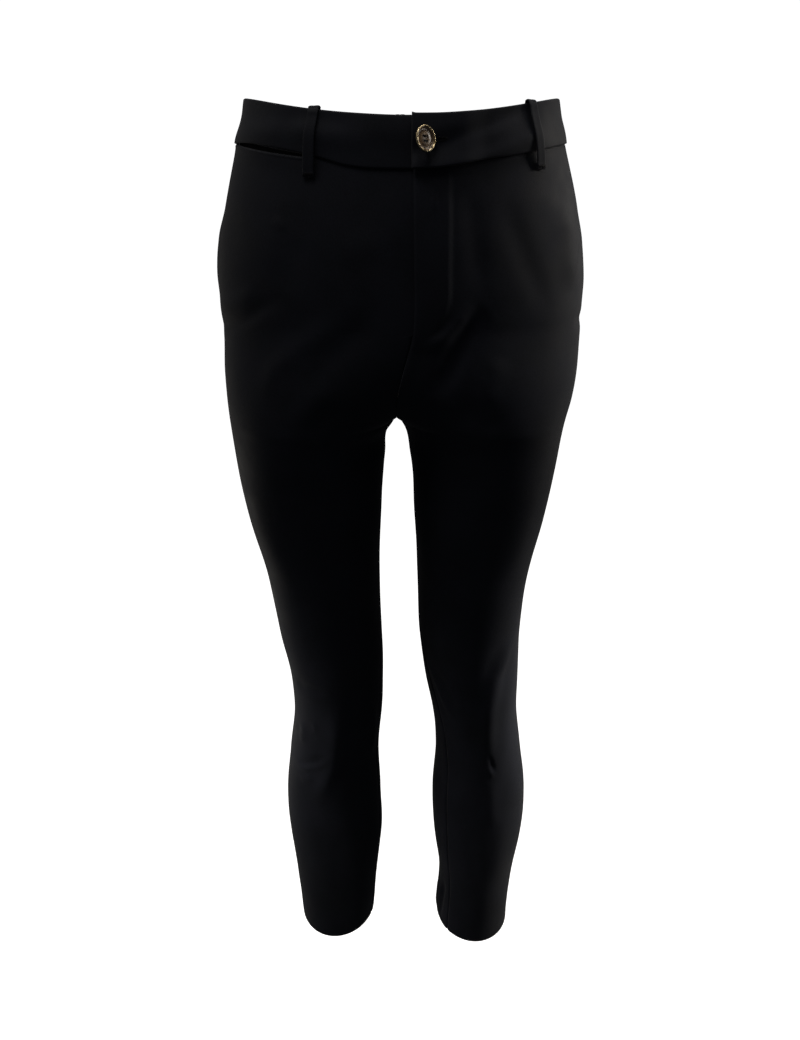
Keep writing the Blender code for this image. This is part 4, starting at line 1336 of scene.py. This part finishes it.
def stitches(name, paths, spacing, length, radius, turn=0.0):
    """Stitches along paths, each a pair of arrays: points and outward directions."""
    verts = np.concatenate([p for p, out in paths])
    outs = np.concatenate([out for p, out in paths])
    edges, base = [], 0
    for p, out in paths:
        edges += [(base + k, base + k + 1) for k in range(len(p) - 1)]
        base += len(p)
    mesh = bpy.data.meshes.new(name)
    mesh.from_pydata(verts.tolist(), edges, [])
    mesh.attributes.new("outward", "FLOAT_VECTOR", "POINT").data.foreach_set(
        "vector", outs.astype(np.float32).ravel())
    guide = bpy.data.objects.new(name, mesh)
    bpy.context.scene.collection.objects.link(guide)
    sew = guide.modifiers.new("stitches", "NODES")
    sew.node_group = STITCHES
    wanted = {"Spacing": spacing, "Stitch length": length, "Thread radius": radius, "Turn": turn}
    for item in STITCHES.interface.items_tree:
        if item.in_out == "INPUT" and item.name in wanted:
            sew[item.identifier] = wanted[item.name]
    found = bpy.context.evaluated_depsgraph_get()
    found.update()
    plain = bpy.data.meshes.new_from_object(guide.evaluated_get(found))
    guide.modifiers.clear()
    guide.data = plain
    print(name, len(plain.polygons), "faces")
    return finish_piece(guide)


# %% [markdown]
# The stitch paths lie on the finished cloth. A ray sent at the cloth finds how far out it
# stands at each place, so a tack follows folds and laps without further sums.

# %% Buttonhole
HOLE_FROM, HOLE_TO = -0.0015, 0.0165     # along the band from the button's middle
HOLE_HIGH = 0.0009


def surface_hit(pieces, start, towards):
    """The first place where a ray meets one of the pieces, or its start."""
    best, found = 1e9, start
    for piece in pieces:
        hit, place, *_ = piece.ray_cast(start, towards)
        if hit and (place - start).length < best:
            best, found = (place - start).length, place
    return found


def on_band(along, up):
    start = band_here + band_along * along + band_up * up + band_out * 0.02
    return surface_hit([band_left], start, -band_out)


slit = rod("slit", band_here + band_along * (HOLE_FROM + HOLE_TO) / 2, band_along, band_up,
           band_out, HOLE_TO - HOLE_FROM, HOLE_HIGH, 0.0045, 24)
hole_edge = []
for k in range(49):
    turn = 2.0 * math.pi * k / 48
    half_long = (HOLE_TO - HOLE_FROM) / 2 + 0.0007
    hole_edge.append(on_band((HOLE_FROM + HOLE_TO) / 2 + half_long * math.cos(turn),
                             (HOLE_HIGH / 2 + 0.0008) * math.copysign(
                                 abs(math.sin(turn)) ** 0.5, math.sin(turn))))
hole_edge = np.array(hole_edge)
cut(band_left, slit)
outward = np.tile(np.array(band_out), (len(hole_edge), 1))
buttonhole = stitches("buttonhole_stitches", [(hole_edge, outward)], 0.00042, 0.0019, 0.00022,
                      math.radians(90.0))

# %% [markdown]
# A bar tack lies across the foot of each belt loop, a little narrower than the loop. The
# loop at the centre back stands over the seam of both halves and goes without, because a
# row is worked out on one half of the body alone.

# %% Bar tacks
everything = [made for made, *_ in panels.values()] + [band_right, band_left]
everything += [made for made, length in loops]
found = bpy.context.evaluated_depsgraph_get()
found.update()
cloths = [piece.evaluated_get(found) for piece in everything]


def on_cloth(side, down, angle):
    """A place on the outermost cloth, and the outward direction there."""
    base = Vector(point(side, down, angle))
    out = (Vector(point(side, down, angle, 0.01)) - base).normalized()
    return surface_hit(cloths, base + out * 0.02, -out), out


def tack(side, from_down, from_degrees, to_down, to_degrees, count=12):
    """A straight row on the cloth between two places."""
    path, outs = [], []
    for t in np.linspace(0.0, 1.0, count):
        down = from_down + (to_down - from_down) * t
        angle = math.radians(from_degrees + (to_degrees - from_degrees) * t)
        place, out = on_cloth(side, down, angle)
        path.append(place)
        outs.append(out)
    return np.array(path), np.array(outs)


TACK_DOWN = 0.0432      # below the band's top edge
tacks = []
for name, side, top_degrees, foot_degrees in LOOPS:
    if name == "belt_loop_centre_back":
        continue
    half = math.degrees(0.40 * LOOP_WIDTH / float(arc(side, 0.02, math.radians(foot_degrees))))
    low = TACK_DOWN + float(dip(np.array(math.radians(foot_degrees))))
    tacks.append(tack(side, low, foot_degrees - half, low, foot_degrees + half))
stitches("bar_tacks_belt_loops", tacks, 0.00040, 0.0022, 0.00020, math.radians(90.0))

# %% [markdown]
# Each panel's name is split into its two words, and each pocket bag's height and area are
# measured from its grid.

for name, (made, grid, area, wide) in panels.items():
    face, word = name.split("_")

for made, grid in bags:
    high = float(np.ptp(grid[..., 2]))
    area = sheet_area(grid)

# %% [markdown]
# The studio: a pale floor well below the hems, a white surround and soft lamps. The surround is
# only there for the camera, so it adds no light of its own, and the lamps shape the black cloth.
# Black cloth shows its shape by what catches the light: four lamps high above the sides brighten
# whatever leans up and outward (hips, knees, calves), those at the sides draw the rims, and the
# small ones stand close and pick out a hip, the fly, a knee and a calf.

# %% Studio
scene = bpy.context.scene
scene.view_settings.view_transform = "Standard"

world = bpy.data.worlds.new("studio")
scene.world = world
world.use_nodes = True
sky = world.node_tree.nodes["Background"]
sky.inputs["Color"].default_value = linear("#e9edf5")
sky.inputs["Strength"].default_value = 0.058


def glowing_white(name, hex_colour, strength):
    made, tree, shader = start_material(name, hex_colour, 0.9)
    shader.inputs["Emission Color"].default_value = linear("#ffffff")
    shader.inputs["Emission Strength"].default_value = strength
    return made


def camera_only(made):
    for ray in ("visible_diffuse", "visible_glossy", "visible_transmission",
                "visible_volume_scatter", "visible_shadow"):
        setattr(made, ray, False)


bpy.ops.mesh.primitive_circle_add(vertices=96, radius=11.0, fill_type="NGON",
                                  location=(0.0, 0.0, -1.25))
floor = bpy.context.object
floor.name = "floor"
floor.data.materials.append(glowing_white("pale_floor_paint", "#f4f4f4", 1.0))
camera_only(floor)
bpy.ops.mesh.primitive_uv_sphere_add(segments=48, ring_count=24, radius=12.0)
surround = bpy.context.object
surround.name = "white_surround"
surround.data.materials.append(glowing_white("white_surround_paint", "#ffffff", 1.0))
camera_only(surround)


def soft_light(name, place, target, wide, high, watts, spread):
    data = bpy.data.lights.new(name + "_light", "AREA")
    data.shape = "RECTANGLE"
    data.size, data.size_y = wide, high
    data.energy = watts
    data.spread = math.radians(spread)
    data.color = linear("#fff9f0")[:3]
    lamp = bpy.data.objects.new(name + "_light", data)
    lamp.location = place
    lamp.rotation_euler = (Vector(target) - Vector(place)).to_track_quat("-Z", "Y").to_euler()
    lamp.visible_camera = False
    scene.collection.objects.link(lamp)


BODY = (0.0, 0.0, -0.4)
# "right" and "left" are those of the picture; spread 180 degrees lets a lamp shine all round
# name, place, aim, width, height, watts, spread in degrees
LAMPS = (
    ("high_right", (0.6, -0.05, 2.2), BODY, 0.4, 0.4, 11.5, 180.0),
    ("high_right_back", (0.9, 0.6, 2.0), BODY, 0.4, 0.4, 8.0, 180.0),
    ("high_left", (-0.75, -0.6, 2.2), BODY, 0.4, 0.4, 4.8, 180.0),
    ("high_left_back", (-0.9, 0.6, 2.0), BODY, 0.4, 0.4, 5.5, 180.0),
    ("left", (-1.5, -0.3, 0.9), (0.0, 0.0, -0.2), 0.8, 1.2, 2.0, 180.0),
    ("left_rim", (-1.5, 0.6, -0.2), BODY, 0.8, 1.8, 1.4, 180.0),
    ("right_rim", (1.5, 0.6, -0.2), BODY, 0.8, 1.8, 3.6, 180.0),
    ("left_low", (-1.2, 0.7, -1.0), (0.0, 0.0, -0.7), 0.5, 0.6, 2.0, 180.0),
    ("right_hip", (0.55, 0.03, 0.08), (0.14, 0.0, -0.13), 0.15, 0.25, 0.16, 50.0),
    ("right_calf", (0.55, 0.0, -0.30), (0.1, 0.0, -0.70), 0.15, 0.25, 0.52, 60.0),
    ("left_knee", (-0.48, -0.15, -0.38), (-0.1, 0.0, -0.67), 0.15, 0.25, 0.14, 50.0),
    ("fly", (-0.1, -0.3, 0.4), (0.03, -0.09, -0.05), 0.25, 0.15, 0.45, 180.0),
)
for lamp in LAMPS:
    soft_light(*lamp)
print(len(LAMPS), "lamps")
